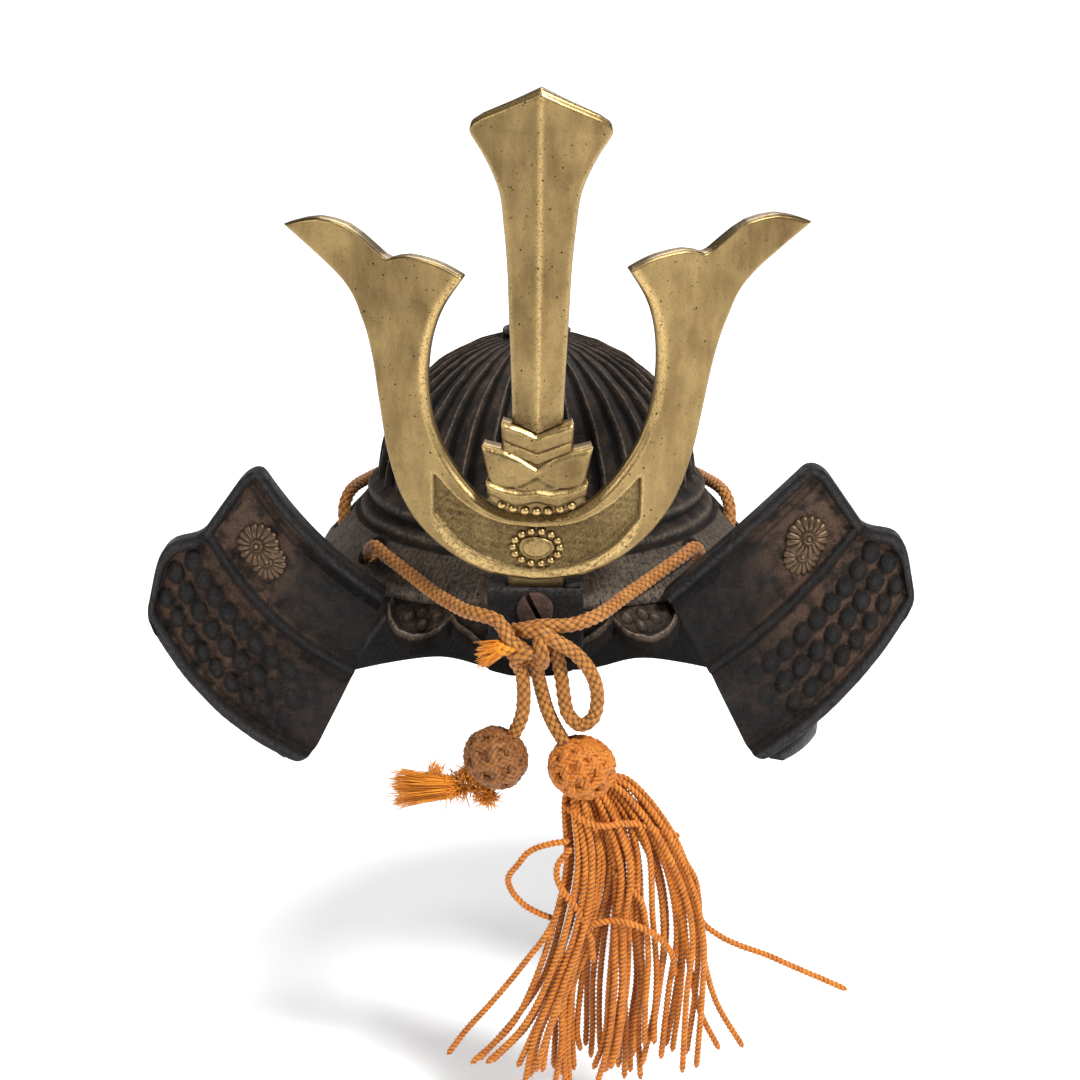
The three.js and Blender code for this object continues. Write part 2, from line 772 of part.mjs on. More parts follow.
function blade() {
  const across = [-1, -0.5, 0, 0.5, 1];
  const place = (row, share, d) => {
    const foot = row === bladeRows[0] ? bladeNotch * (1 - Math.abs(share)) : 0;
    return crestPoint(row.half * share, row.t - foot, d);
  };
  const front = bladeRows.map((row) => across.map((share) => {
    return place(row, share, lerp(bladeRidge, bladeEdge, Math.abs(share)));
  }));
  const back = bladeRows.map((row) => across.map((share) => place(row, share, 0)));
  return mesh('crest_blade', shell(front, back), brassDull);
}

// Stepped socket: each tier's top and bottom edges as [s, t] from the middle outwards,
// with the height of its front face
const socketTiers = [
  { front: 1.5, top: [[0, 50.2], [8.8, 53.4]], bottom: [[0, 45], [8.6, 48.4]] },
  { front: 0.7, top: [[0, 46], [8.6, 49.4]], bottom: [[0, 40], [9.2, 43]] },
  { front: 1.9, top: [[0, 41.2], [4.4, 44.4], [13.6, 46.6]], bottom: [[0, 34], [11.4, 36]] },
  { front: 2.8, top: [[0, 36], [4, 35.4], [12.4, 37.8]], bottom: [[0, 32.2], [5, 31], [12, 34.4]] },
  { front: 0.6, top: [[0, 33], [11, 36]], bottom: [[0, 28.1], [7, 28.7], [12.4, 31.7]] },
];
const socketBeads = 7;

function tier({ front, top, bottom }) {
  const mirror = (rows) => [...rows.slice(1).reverse().map(([s, t]) => [-s, t]), ...rows];
  const outline = [...mirror(top), ...mirror(bottom).reverse()];
  const shape = new THREE.Shape(outline.map(([s, t]) => new THREE.Vector2(s, t)));
  const depth = socketThickness + front;
  return new THREE.ExtrudeGeometry(shape, { depth, bevelEnabled: false });
}

function socket() {
  const bead = (share) => {
    const s = share * 8.5;
    const t = 29.6 + 1.6 * share * share;
    return dome(beadRadius, 1).translate(s, t, socketThickness + 0.7);
  };
  const beads = steps(-1, 1, socketBeads - 1).map(bead);
  const fused = join([...socketTiers.map(tier), ...beads]);
  const base = new THREE.BoxGeometry(60, 60, 10).translate(0, 40, -5);
  return mesh('crest_socket', bendOntoCrest(cut(fused, [base, socketSeat()])), brassDull);
}

// The horns' inner edge with the clearance, below which the socket is cut away
function socketSeat() {
  const edge = steps(-1, 1, 12).map((share) => {
    const place = onCurve(hornInner, Math.abs(share) * 0.3);
    return new THREE.Vector2((Math.sign(share) || 1) * place.x, place.y + gap);
  });
  const shape = new THREE.Shape([...edge, new THREE.Vector2(20, 0), new THREE.Vector2(-20, 0)]);
  return new THREE.ExtrudeGeometry(shape, { depth: 30, bevelEnabled: false }).translate(0, 0, -10);
}

// Holder: a block on the peak with a pocket for the tang and a bore for the screw
function holder(crestMatrix) {
  const floor = (y) => peakTop(0, -y - bowlHalfDepth) - 1;
  const shape = new THREE.Shape([
    new THREE.Vector2(holderFront, floor(holderFront)),
    new THREE.Vector2(holderBack, floor(holderBack)),
    new THREE.Vector2(holderBack, holderTop),
    new THREE.Vector2(holderFront + 1, holderTop),
    new THREE.Vector2(holderFront, holderTop - 1),
  ]);
  const block = new THREE.ExtrudeGeometry(shape, { depth: holderWidth, bevelEnabled: false });
  block.applyMatrix4(new THREE.Matrix4().set(0, 0, 1, -holderWidth / 2, 1, 0, 0, 0, 0, 1, 0, 0, 0, 0, 0, 1));
  const pocket = new THREE.BoxGeometry(tangWidth + 1, tangLength + 8, hornThickness + 0.6);
  pocket.translate(0, hornOuter[0][1] - tangLength / 2 + 4 - 0.4, hornThickness / 2);
  bendOntoCrest(pocket);
  pocket.applyMatrix4(crestMatrix);
  const bore = new THREE.CylinderGeometry(screwShaft + 0.4, screwShaft + 0.4, 8, 16);
  bore.translate(0, holderFront, holderTop - screwDrop);
  const hollowed = cut(block, [pocket, bore, peakClearance().translate(-crestOffset, 0, gap)]);
  return mesh('crest_holder', hollowed, ironBlack);
}

// Screw: slotted cheese head and a short shaft into the holder
function screw() {
  const shaft = crestDepth - (hornThickness + tangThickness) / 2 - holderFront - gap;
  const profile = [
    [0, 0], [screwShaft, 0], [screwShaft, shaft], [screwRadius, shaft], [screwRadius, shaft + screwHead * 0.7],
    [screwRadius * 0.9, shaft + screwHead], [0, shaft + screwHead],
  ];
  const turned = new THREE.LatheGeometry(profile.map(([r, h]) => new THREE.Vector2(r, h)), 20);
  const slot = new THREE.BoxGeometry(2 * screwRadius + 2, 2, slotWidth);
  slot.rotateY(rad(slotTurn));
  slot.translate(0, shaft + screwHead, 0);
  const made = cut(mergeVertices(dropAttributes(turned)), [slot]);
  made.rotateX(Math.PI);
  made.translate(0, holderFront + shaft - gap, holderTop - screwDrop);
  return mesh('crest_screw', made, screwIron);
}

// Cord routes, chosen point by point: [x, y, z]
const tieHalf = [
  [10.2, -91.3, -9.8], [17, -86.8, -8.9], [25, -72.8, -7.7], [34, -58.2, -5.9], [40.8, -48.9, -3.9],
  [44.8, -42.5, -3], [46.5, -38.7, -5.7], [46, -37, -10.5], [46.2, -33, -14.2], [49.2, -24, -15.6],
  [53, -12, -15.4], [56, -4, -12.6], [57.6, 0.2, -7.8], [57.8, 3, -3.6], [56.8, 6.8, -0.6],
  [55.2, 11.4, 0.6], [52.4, 20, 0.6], [47.1, 32.4, 0.6], [38.4, 44.8, 0.6], [25.9, 54.9, 0.6],
];
const tieBack = [0, 62.3, 0.6];
const tieLeftEnd = [[-10.9, -91.4, -9.4], [-16.4, -86, -8]];
const loopRoute = [
  [11.4, -93, -16.1], [14.4, -93.2, -19.6], [16.6, -93.2, -24], [17.6, -93, -30], [16.4, -92.6, -35],
  [13.2, -92.3, -37], [10, -92.2, -34], [8.9, -92, -29.4], [8, -92, -25.9],
];
const tailLeft = [
  [-1.6, -93.8, -24.9], [-1.6, -93.8, -29], [-2, -93.6, -33.6], [-3, -93, -36.8], [-4.3, -92.4, -39],
];
const tailRight = [
  [2.6, -90.6, -25.5], [3.3, -90.6, -29.2], [4.6, -91, -33.6], [6.4, -91.4, -37.6], [8.9, -91.8, -41.9],
];

function tube(name, route, count) {
  const path = new THREE.CatmullRomCurve3(route.map((point) => new THREE.Vector3(...point)), false, 'centripetal');
  const section = new THREE.Shape(steps(0, 2 * Math.PI, cordSides).slice(0, -1).map((turn) => {
    return new THREE.Vector2(cordDiameter / 2 * Math.cos(turn), cordDiameter / 2 * Math.sin(turn));
  }));
  const cord = new THREE.ExtrudeGeometry(section, { steps: count, extrudePath: path, bevelEnabled: false });
  return mesh(name, cord, cordOrange);
}

function tieCord() {
  const mirrored = tieHalf.slice(2).map(([x, y, z]) => [-x, y, z]);
  const route = [...tieHalf, tieBack, ...mirrored.reverse(), ...tieLeftEnd.slice().reverse()];
  return tube('tie_cord', route, 52);
}

// Rounded lump: [x, y, z] of its middle, then its three half sizes
function lump(middle, half) {
  return new THREE.SphereGeometry(1, 9, 6).scale(...half).translate(...middle);
}

function frontKnot() {
  const lumps = [
    lump([0, -92, -13.2], [11, 4.2, 4.6]),
    lump([-2.5, -92.4, -19], [8, 4.6, 5.8]),
    lump([4.4, -92.4, -19.2], [5.4, 4.4, 5.8]),
  ];
  return mesh('front_knot', join(lumps), cordOrange);
}

function frayedStub() {
  const stub = loft([
    ringAt([-11.2, -93.4, -17.7], [1, 0, 0.3], 1.9, 8),
    ringAt([-12.8, -93.6, -18.3], [1, 0, 0.3], 2.3, 8),
    ringAt([-14.4, -93.8, -18.8], [1, 0, 0.3], 1.5, 8),
  ]);
  return mesh('frayed_stub', stub, frayOrange);
}

function ringAt(centre, direction, radius, sides) {
  const normal = new THREE.Vector3(...direction).normalize();
  const side = new THREE.Vector3(0, 1, 0);
  const up = normal.clone().cross(side).normalize();
  return steps(0, 2 * Math.PI, sides).slice(0, -1).map((turn) => {
    return new THREE.Vector3(...centre)
      .addScaledVector(side, radius * Math.cos(turn))
      .addScaledVector(up, radius * Math.sin(turn));
  });
}

const ballCentre = [-9, hangDepth, -46.4];

function ballKnot() {
  return mesh('ball_knot', lump(ballCentre, [ballRadius, ballRadius, ballRadius]), cordOrange);
}

// Frayed tuft: stations from the ball outwards, with half height and half depth
const tuftStations = [
  { x: -16.7, z: -52.4, high: 3, deep: 3 },
  { x: -19, z: -53, high: 4.6, deep: 4.4 },
  { x: -23, z: -54.4, high: 4.4, deep: 4 },
  { x: -28, z: -54.8, high: 3.2, deep: 3.4 },
  { x: -34, z: -55.6, high: 3.6, deep: 3.2 },
  { x: -37, z: -56.4, high: 2, deep: 2 },
];

function frayedTuft() {
  const rings = tuftStations.map(({ x, z, high, deep }) => steps(0, 2 * Math.PI, 10).slice(0, -1).map((turn) => {
    return new THREE.Vector3(x, hangDepth + deep * Math.cos(turn), z + high * Math.sin(turn));
  }));
  return mesh('frayed_tuft', loft(rings), frayOrange);
}

// Tassel: a head with locks of cord hanging from it; where each lock ends and how thick it is
const headCentre = [13.7, hangDepth, -49];
const tasselEnd = -147;
const locks = [
  { x: -16, y: -4, drop: 0.9, start: 3, thick: 6 },
  { x: -6, y: 8, drop: 1, start: 3.5, thick: 8 },
  { x: 4, y: -9, drop: 1, start: 4, thick: 8 },
  { x: 13, y: 10, drop: 0.97, start: 4, thick: 8 },
  { x: 17, y: -7, drop: 1, start: 4, thick: 8 },
  { x: 27, y: 9, drop: 1, start: 3.5, thick: 8 },
  { x: 33, y: -5, drop: 0.96, start: 3.5, thick: 7 },
  { x: 46, y: 3, drop: 0.93, start: 3, thick: 6 },
];

function lock({ x, y, drop, start, thick }) {
  const top = new THREE.Vector3(headCentre[0], headCentre[1], headCentre[2] - 4);
  const middle = new THREE.Vector3(lerp(headCentre[0], x, 0.62), hangDepth + y * 0.8, lerp(top.z, tasselEnd, 0.42));
  const end = new THREE.Vector3(x, hangDepth + y, lerp(top.z, tasselEnd, drop));
  const curve = new THREE.QuadraticBezierCurve3(top, middle, end);
  const rings = steps(0, 1, 4).map((share) => {
    const centre = curve.getPoint(share);
    const radius = lerp(start, thick, Math.min(1, share * 1.6)) * (share === 1 ? 0.6 : 1);
    return steps(0, 2 * Math.PI, 6).slice(0, -1).map((turn) => {
      return new THREE.Vector3(centre.x + radius * Math.cos(turn), centre.y + radius * 0.8 * Math.sin(turn), centre.z);
    });
  });
  return loft(rings);
}

function tassel() {
  const head = lump(headCentre, [headRadius, headRadius * 0.95, headRadius * 0.9]);
  return mesh('tassel', join([head, ...locks.map(lock)]), cordOrange);
}

// Assembly
const crest = new THREE.Group();
crest.position.set(0, crestDepth, crestBase);
crest.rotation.set(rad(crestLean), rad(crestRoll), 0);
crest.add(horns(), medallion(), blade(), socket());
crest.updateMatrix();

const crestMount = new THREE.Group();
crestMount.position.x = crestOffset;
crestMount.add(crest, holder(crest.matrix), screw());

const helmet = new THREE.Group();
helmet.position.z = bowlWall - bowlHeight;
helmet.add(bowl(), crownKnob(), peak(), neckGuard());
Object.entries(turnbacks).forEach(([side, spec]) => {
  helmet.add(turnback(`turnback_${side}`, spec));
  helmet.add(flowerCrest(`flower_crest_${side}`, spec, flowerSpots[side]));
});
helmet.add(crestMount);
helmet.add(tieCord(), frontKnot(), frayedStub());
helmet.add(tube('bow_loop', loopRoute, 14));
helmet.add(tube('left_tail', tailLeft, 6), ballKnot(), frayedTuft());
helmet.add(tube('right_tail', tailRight, 6), tassel());

const assembly = new THREE.Group();
assembly.add(helmet);

export default assembly;
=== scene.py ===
"""Ornamental samurai helmet of cast iron and brass with a braided cord: the fine surfaces,
the materials, the camera and the light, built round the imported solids."""

import math

import bpy
import numpy as np
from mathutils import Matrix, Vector


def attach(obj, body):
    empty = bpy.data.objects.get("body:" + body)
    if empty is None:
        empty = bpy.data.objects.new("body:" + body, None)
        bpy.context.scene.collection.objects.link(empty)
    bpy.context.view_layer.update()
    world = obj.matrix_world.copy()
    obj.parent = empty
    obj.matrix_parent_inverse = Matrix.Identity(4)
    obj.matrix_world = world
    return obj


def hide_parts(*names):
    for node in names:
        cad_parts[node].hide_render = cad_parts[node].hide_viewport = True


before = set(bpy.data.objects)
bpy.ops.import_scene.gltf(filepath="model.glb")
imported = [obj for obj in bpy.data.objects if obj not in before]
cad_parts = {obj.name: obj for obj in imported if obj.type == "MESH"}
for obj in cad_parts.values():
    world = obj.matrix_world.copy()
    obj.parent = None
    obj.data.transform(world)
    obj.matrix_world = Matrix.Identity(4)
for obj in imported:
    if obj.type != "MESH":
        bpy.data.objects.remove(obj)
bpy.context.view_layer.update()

MM = 0.001
RING_Z = -47.0  # height in mm of the bowl's ring, from which every height below is counted


def to_frame(points):
    """Millimetres in the bowl's ring frame to metres in the frame of the model."""
    out = np.array(points, float)
    out[..., 2] += RING_Z
    return out * MM


# Camera and light


def add_camera():
    elevation, yaw = math.radians(16), math.radians(1)
    target = Vector((0.001, 0, -0.0601))
    away = Vector((
        math.sin(yaw) * math.cos(elevation),
        -math.cos(yaw) * math.cos(elevation),
        math.sin(elevation),
    ))
    data = bpy.data.cameras.new("camera")
    data.lens, data.sensor_width = 72.22, 36
    camera = bpy.data.objects.new("camera", data)
    camera.location = target + 0.65 * away
    camera.rotation_euler = (-away).to_track_quat("-Z", "Y").to_euler()
    bpy.context.collection.objects.link(camera)
    bpy.context.scene.camera = camera


def add_light(name, place, target, size, power):
    data = bpy.data.lights.new(name, "AREA")
    data.shape, data.size, data.energy = "DISK", size, power
    light = bpy.data.objects.new(name, data)
    light.location = place
    light.rotation_euler = (Vector(target) - Vector(place)).to_track_quat("-Z", "Y").to_euler()
    bpy.context.collection.objects.link(light)


# Number work on points


def spline(points, spacing):
    """Points at an even spacing on a smooth curve through the given ones."""
    p = np.asarray(points, float)
    p = np.vstack([2 * p[0] - p[1], p, 2 * p[-1] - p[-2]])
    parts = []
    for i in range(1, len(p) - 2):
        p0, p1, p2, p3 = p[i - 1 : i + 3]
        t1 = np.linalg.norm(p1 - p0) ** 0.5
        t2 = t1 + np.linalg.norm(p2 - p1) ** 0.5
        t3 = t2 + np.linalg.norm(p3 - p2) ** 0.5
        t = np.linspace(t1, t2, 24, endpoint=False)[:, None]
        a1 = (t1 - t) / t1 * p0 + t / t1 * p1
        a2 = (t2 - t) / (t2 - t1) * p1 + (t - t1) / (t2 - t1) * p2
        a3 = (t3 - t) / (t3 - t2) * p2 + (t - t2) / (t3 - t2) * p3
        b1 = (t2 - t) / t2 * a1 + t / t2 * a2
        b2 = (t3 - t) / (t3 - t1) * a2 + (t - t1) / (t3 - t1) * a3
        parts.append((t2 - t) / (t2 - t1) * b1 + (t - t1) / (t2 - t1) * b2)
    fine = np.vstack([*parts, p[-2]])
    run = np.r_[0, np.cumsum(np.linalg.norm(np.diff(fine, axis=0), axis=1))]
    stations = np.linspace(0, run[-1], max(2, round(run[-1] / spacing)) + 1)
    return np.column_stack([np.interp(stations, run, column) for column in fine.T])


def curve2(points, shares):
    """Points at shares of a smooth plane curve's length, as a spline's own parameter gives them."""
    p = np.asarray(points, float)
    p = np.vstack([p[0], p, p[-1]])
    at = np.clip(shares, 0, 1) * (len(p) - 3)
    i = np.minimum(at.astype(int), len(p) - 4)
    t = (at - i)[..., None]
    p0, p1, p2, p3 = p[i], p[i + 1], p[i + 2], p[i + 3]
    v1, v2 = (p2 - p0) / 2, (p3 - p1) / 2
    return (2 * p1 - 2 * p2 + v1 + v2) * t**3 + (3 * p2 - 3 * p1 - 2 * v1 - v2) * t**2 + v1 * t + p1


def table(rows, x):
    rows = np.asarray(rows, float)
    return np.interp(x, rows[:, 0], rows[:, 1])


def step(x, low, high):
    t = np.clip((x - low) / (high - low), 0, 1)
    return t * t * (3 - 2 * t)


def bell(x, middle, spread):
    """A bell-shaped rise from 0 to 1 at the middle."""
    return np.exp(-((x - middle) ** 2) / spread)


def lumps(points, scale, seed, layers=7):
    """Smooth irregular waves between about -1 and 1, with a wavelength near scale in mm."""
    random = np.random.RandomState(seed)
    total = np.zeros(points.shape[:-1])
    for _ in range(layers):
        way = random.normal(size=3)
        way *= 2 * math.pi / (scale * random.uniform(0.7, 1.5) * np.linalg.norm(way))
        total += np.sin(points @ way + random.uniform(0, 6.28))
    return total / math.sqrt(layers * 2)


def frames(path):
    """Two normals along a path, turning as little as they can."""
    tangent = np.gradient(path, axis=0)
    tangent /= np.linalg.norm(tangent, axis=1)[:, None]
    normal = np.zeros_like(path)
    side = np.cross(tangent[0], (0.13, 0.97, 0.2))
    for i, t in enumerate(tangent):
        side = side - t * side.dot(t)
        side /= np.linalg.norm(side)
        normal[i] = side
    return normal, np.cross(tangent, normal)


def sweep(path, sides, radius):
    """Rings of points round a path; radius is a number or a function of (length, angle)."""
    u, v = frames(path)
    run = np.r_[0, np.cumsum(np.linalg.norm(np.diff(path, axis=0), axis=1))][:, None]
    angle = np.linspace(0, 2 * math.pi, sides, endpoint=False)[None, :]
    r = (radius(run, angle) if callable(radius) else radius + 0 * run * angle)[..., None]
    around = np.cos(angle)[..., None] * u[:, None] + np.sin(angle)[..., None] * v[:, None]
    return path[:, None] + r * around


# Meshes


class Build:
    """Points, faces and surface fields of one piece, gathered from closed parts.

    The fields are low, where dirt collects and shade is painted, wear, where metal is rubbed bright and
    highlights are painted, rust, where iron has turned brown, and flow, a place along and across the surface
    for streaks."""

    fields = ("low", "wear", "rust")

    def __init__(self):
        self.points, self.faces, self.count = [], [], 0
        self.values = {name: [] for name in self.fields}
        self.flow = []

    def add(self, points, faces, flow=None, **values):
        flat = np.asarray(points, float).reshape(-1, 3)
        if signed_volume(flat, faces) < 0:
            faces = [face[::-1] for face in faces]
        self.faces += [[k + self.count for k in face] for face in faces]
        self.points.append(flat)
        self.count += len(flat)
        for name in self.fields:
            value = np.ravel(values.get(name, 0.0))
            self.values[name].append(np.broadcast_to(value, flat.shape[:1]))
        self.flow.append(flat if flow is None else np.reshape(flow, (-1, 3)))
        return self

    def plate(self, outer, inner, flow=None, back_low=0.0, **values):
        """A closed plate between two grids of the same size."""
        rows, cols = outer.shape[:2]
        count = rows * cols
        number = np.arange(count).reshape(rows, cols)
        front = grid_faces(number, False)
        faces = [*front, *[[k + count for k in face[::-1]] for face in front]]
        lines = [number[0], number[-1][::-1], number[::-1, 0], number[:, -1]]
        for line in lines:
            faces += [[b, a, a + count, b + count] for a, b in zip(line[:-1].tolist(), line[1:].tolist())]
        both = {
            name: np.r_[np.ravel(np.broadcast_to(value, (rows, cols))), np.zeros(count)]
            for name, value in values.items()
        }
        both["low"][count:] = back_low
        if flow is not None:
            flow = np.concatenate([np.reshape(flow, (-1, 3))] * 2)
        return self.add(np.concatenate([outer.reshape(-1, 3), inner.reshape(-1, 3)]), faces, flow, **both)

    def shell(self, outer, inner, flow=None, back_low=0.0, **values):
        """A closed shell between two stacks of rings, capped at the first ring, joined at the last."""
        rows, cols = outer.shape[:2]
        count = rows * cols
        number = np.arange(count).reshape(rows, cols)
        front = grid_faces(number, True)
        faces = [*front, *[[k + count for k in face[::-1]] for face in front]]
        edge = np.r_[number[-1], number[-1][0]].tolist()
        faces += [[a, b, b + count, a + count] for a, b in zip(edge[:-1], edge[1:])]
        faces += [number[0][::-1].tolist(), (number[0] + count).tolist()]
        both = {name: np.r_[np.ravel(value), np.zeros(count)] for name, value in values.items()}
        both["low"][count:] = back_low
        if flow is not None:
            flow = np.concatenate([np.reshape(flow, (-1, 3))] * 2)
        return self.add(np.concatenate([outer.reshape(-1, 3), inner.reshape(-1, 3)]), faces, flow, **both)

    def loft(self, rings, flow=None, **values):
        """A closed body through rings of points with a flat face at each end."""
        rows, cols = rings.shape[:2]
        number = np.arange(rows * cols).reshape(rows, cols)
        faces = grid_faces(number, True)
        faces += [number[0][::-1].tolist(), number[-1].tolist()]
        return self.add(rings, faces, flow, **values)

    def piece(self, name, material, slot, replaces=()):
        mesh = bpy.data.meshes.new(name)
        mesh.from_pydata(to_frame(np.concatenate(self.points)).tolist(), [], self.faces)
        for field in self.fields:
            layer = mesh.attributes.new(field, "FLOAT", "POINT")
            layer.data.foreach_set("value", np.concatenate(self.values[field]).astype(np.float32))
        layer = mesh.attributes.new("flow", "FLOAT_VECTOR", "POINT")
        layer.data.foreach_set("vector", (np.concatenate(self.flow) * MM).astype(np.float32).ravel())
        mesh.polygons.foreach_set("use_smooth", [True] * len(mesh.polygons))
        mesh.update()
        obj = bpy.data.objects.new(name, mesh)
        bpy.context.collection.objects.link(obj)
        mesh.materials.append(material)
        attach(obj, "root")
        if replaces:
            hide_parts(*replaces)
        return obj


def grid_faces(number, wrap):
    if wrap:
        number = np.column_stack([number, number[:, :1]])
    quads = np.stack([number[:-1, :-1], number[:-1, 1:], number[1:, 1:], number[1:, :-1]], -1)
    return quads.reshape(-1, 4).tolist()


def signed_volume(points, faces):
    total = 0.0
    quads = np.array([face[:3] + [face[-1]] for face in faces if len(face) < 5])
    p = points[quads]
    for i, j, k in ((0, 1, 2), (0, 2, 3)):
        total += np.einsum("ij,ij->i", p[:, i], np.cross(p[:, j], p[:, k])).sum()
    return total


def lathe(profile, sides, spacing):
    """Rings about Z from a profile of (radius, height) rows."""
    profile = np.asarray(profile, float)
    profile = spline(np.column_stack([profile, 0 * profile[:, 0]]), spacing)[:, :2]
    angle = np.linspace(0, 2 * math.pi, sides, endpoint=False)
    r, z = profile[:, :1], profile[:, 1:]
    return np.stack([r * np.cos(angle), r * np.sin(angle), z + 0 * angle], -1)


def between_points(rings, count):
    """Rings with each side between two of their points divided into count steps."""
    following = np.roll(rings, -1, axis=1)
    fine = np.linspace(rings, following, count, endpoint=False, axis=2)
    return fine.reshape(len(rings), -1, 3)


def small_bead(profile, place):
    """A bead turned from a profile, put in place by a function of (across, up, out)."""
    ball = lathe(profile, 16, 0.35)
    return place(ball[..., 0], ball[..., 1], ball[..., 2]), ball[..., 2]


# Materials


class Nodes:
    """Shorthand for building one material's node tree."""

    def __init__(self, name):
        self.material = bpy.data.materials.new(name)
        self.material.use_nodes = True
        self.tree = self.material.node_tree
        self.shader = self.tree.nodes["Principled BSDF"]

    def node(self, kind, inputs=(), **settings):
        node = self.tree.nodes.new("ShaderNode" + kind)
        for key, value in settings.items():
            setattr(node, key, value)
        for key, value in dict(inputs).items():
            self.set(node.inputs[key], value)
        return node

    def set(self, socket, value):
        if isinstance(value, bpy.types.NodeSocket):
            self.tree.links.new(value, socket)
        elif socket.type == "RGBA":
            socket.default_value = (*value, 1)
        else:
            socket.default_value = value

    def field(self, name):
        node = self.node("Attribute", attribute_name=name)
        return node.outputs["Vector" if name == "flow" else "Fac"]

    def place(self, scale=(1, 1, 1), source=None):
        """Object coordinates in mm, stretched."""
        source = source or self.node("TexCoord").outputs["Object"]
        inputs = {0: source, 1: [1000 * s for s in scale]}
        return self.node("VectorMath", inputs, operation="MULTIPLY").outputs[0]

    def noise(self, vector, scale, detail=3, rough=0.55):
        """Noise about 0.5 with a grain of scale mm."""
        inputs = {"Vector": vector, "Scale": 1 / scale, "Detail": detail, "Roughness": rough}
        return self.node("TexNoise", inputs).outputs["Fac"]

    def cells(self, vector, scale):
        return self.node("TexVoronoi", {"Vector": vector, "Scale": 1 / scale}).outputs["Distance"]

    def math(self, operation, a, b=0.0, clamp=False):
        return self.node("Math", {0: a, 1: b}, operation=operation, use_clamp=clamp).outputs[0]

    def plus(self, a, b, clamp=False):
        return self.math("ADD", a, b, clamp)

    def times(self, a, b, clamp=False):
        return self.math("MULTIPLY", a, b, clamp)

    def between(self, value, low, high, start=0.0, end=1.0):
        """value mapped from low..high to start..end, and held at the ends."""
        inputs = {"Value": value, "From Min": low, "From Max": high, "To Min": start, "To Max": end}
        return self.node("MapRange", inputs).outputs[0]

    def mix(self, share, a, b):
        node = self.node("Mix", data_type="RGBA")
        self.set(node.inputs[0], share)
        self.set(node.inputs[6], a)
        self.set(node.inputs[7], b)
        return node.outputs[2]

    def bump(self, height, strength, distance):
        inputs = {"Height": height, "Strength": strength, "Distance": distance * MM}
        return self.node("Bump", inputs).outputs[0]

    def finish(self, **sockets):
        names = {"colour": "Base Color", "rough": "Roughness", "metal": "Metallic", "normal": "Normal",
                 "specular": "Specular IOR Level", "sheen": "Sheen Weight", "sheen_rough": "Sheen Roughness"}
        for key, value in sockets.items():
            self.set(self.shader.inputs[names[key]], value)
        return self.material


def cast_iron(name, deep, brown, worn_and_highlight_colour, brown_share, gloss, streaks=0.0):
    """Rough cast iron: a dark ground, rust brown in patches, rubbed metal with painted highlights on the
    edges and painted shade with dirt in the hollows.
    """
    n = Nodes(name)
    place = n.place()
    low, wear, rust = n.field("low"), n.field("wear"), n.field("rust")
    broad = n.noise(place, 14, 4, 0.6)
    blotch = n.noise(place, 4.5, 4, 0.65)
    grain = n.noise(place, 1.1, 5, 0.65)
    fine = n.noise(place, 0.35, 3, 0.6)
    patch = n.plus(n.times(broad, 0.45), n.times(blotch, 0.55))
    brown_here = n.times(n.between(patch, 0.4, 0.62), brown_share)
    brown_here = n.plus(brown_here, n.times(rust, n.between(blotch, 0.2, 0.55, 0.45, 1)), True)
    colour = n.mix(brown_here, deep, brown)
    colour = n.mix(n.between(grain, 0.52, 0.76, 0, 0.4), colour, worn_and_highlight_colour)
    colour = n.mix(n.between(fine, 0.56, 0.36, 0, 0.6), colour, deep)
    colour = n.mix(n.between(blotch, 0.55, 0.38, 0, 0.75), colour, deep)
    rub_and_highlight = n.times(wear, n.between(grain, 0.4, 0.56), clamp=True)
    height = n.plus(n.times(grain, 1.1), n.times(fine, 0.5))
    height = n.plus(height, n.times(blotch, 1.2))
    if streaks:
        lines = n.noise(n.place((2.4, 0.12, 0.12), n.field("flow")), 1, 2, 0.6)
        strength = n.times(wear, streaks)
        line_share = n.times(n.between(lines, 0.45, 0.65), strength, clamp=True)
        colour = n.mix(line_share, colour, worn_and_highlight_colour)
        height = n.plus(height, n.times(lines, n.times(wear, 0.6)))
    # Rubbed wear and painted highlights: the worn colour goes where the wear field marks edges and crests.
    colour = n.mix(rub_and_highlight, colour, worn_and_highlight_colour)
    # Painted shade, with dirt: the low field darkens hollows and joins towards a near black.
    colour = n.mix(n.times(low, 0.92, clamp=True), colour, [c * 0.2 for c in deep])
    pits = n.between(n.cells(place, 1.6), 0.0, 0.22)
    height = n.plus(height, n.times(pits, 0.35))
    rough = n.between(grain, 0.3, 0.7, gloss, gloss + 0.22)
    rough = n.plus(rough, n.times(brown_here, 0.16))
    rough = n.plus(rough, n.times(low, 0.35), True)
    return n.finish(colour=colour, rough=rough, normal=n.bump(height, 1.0, 0.8), specular=0.2)


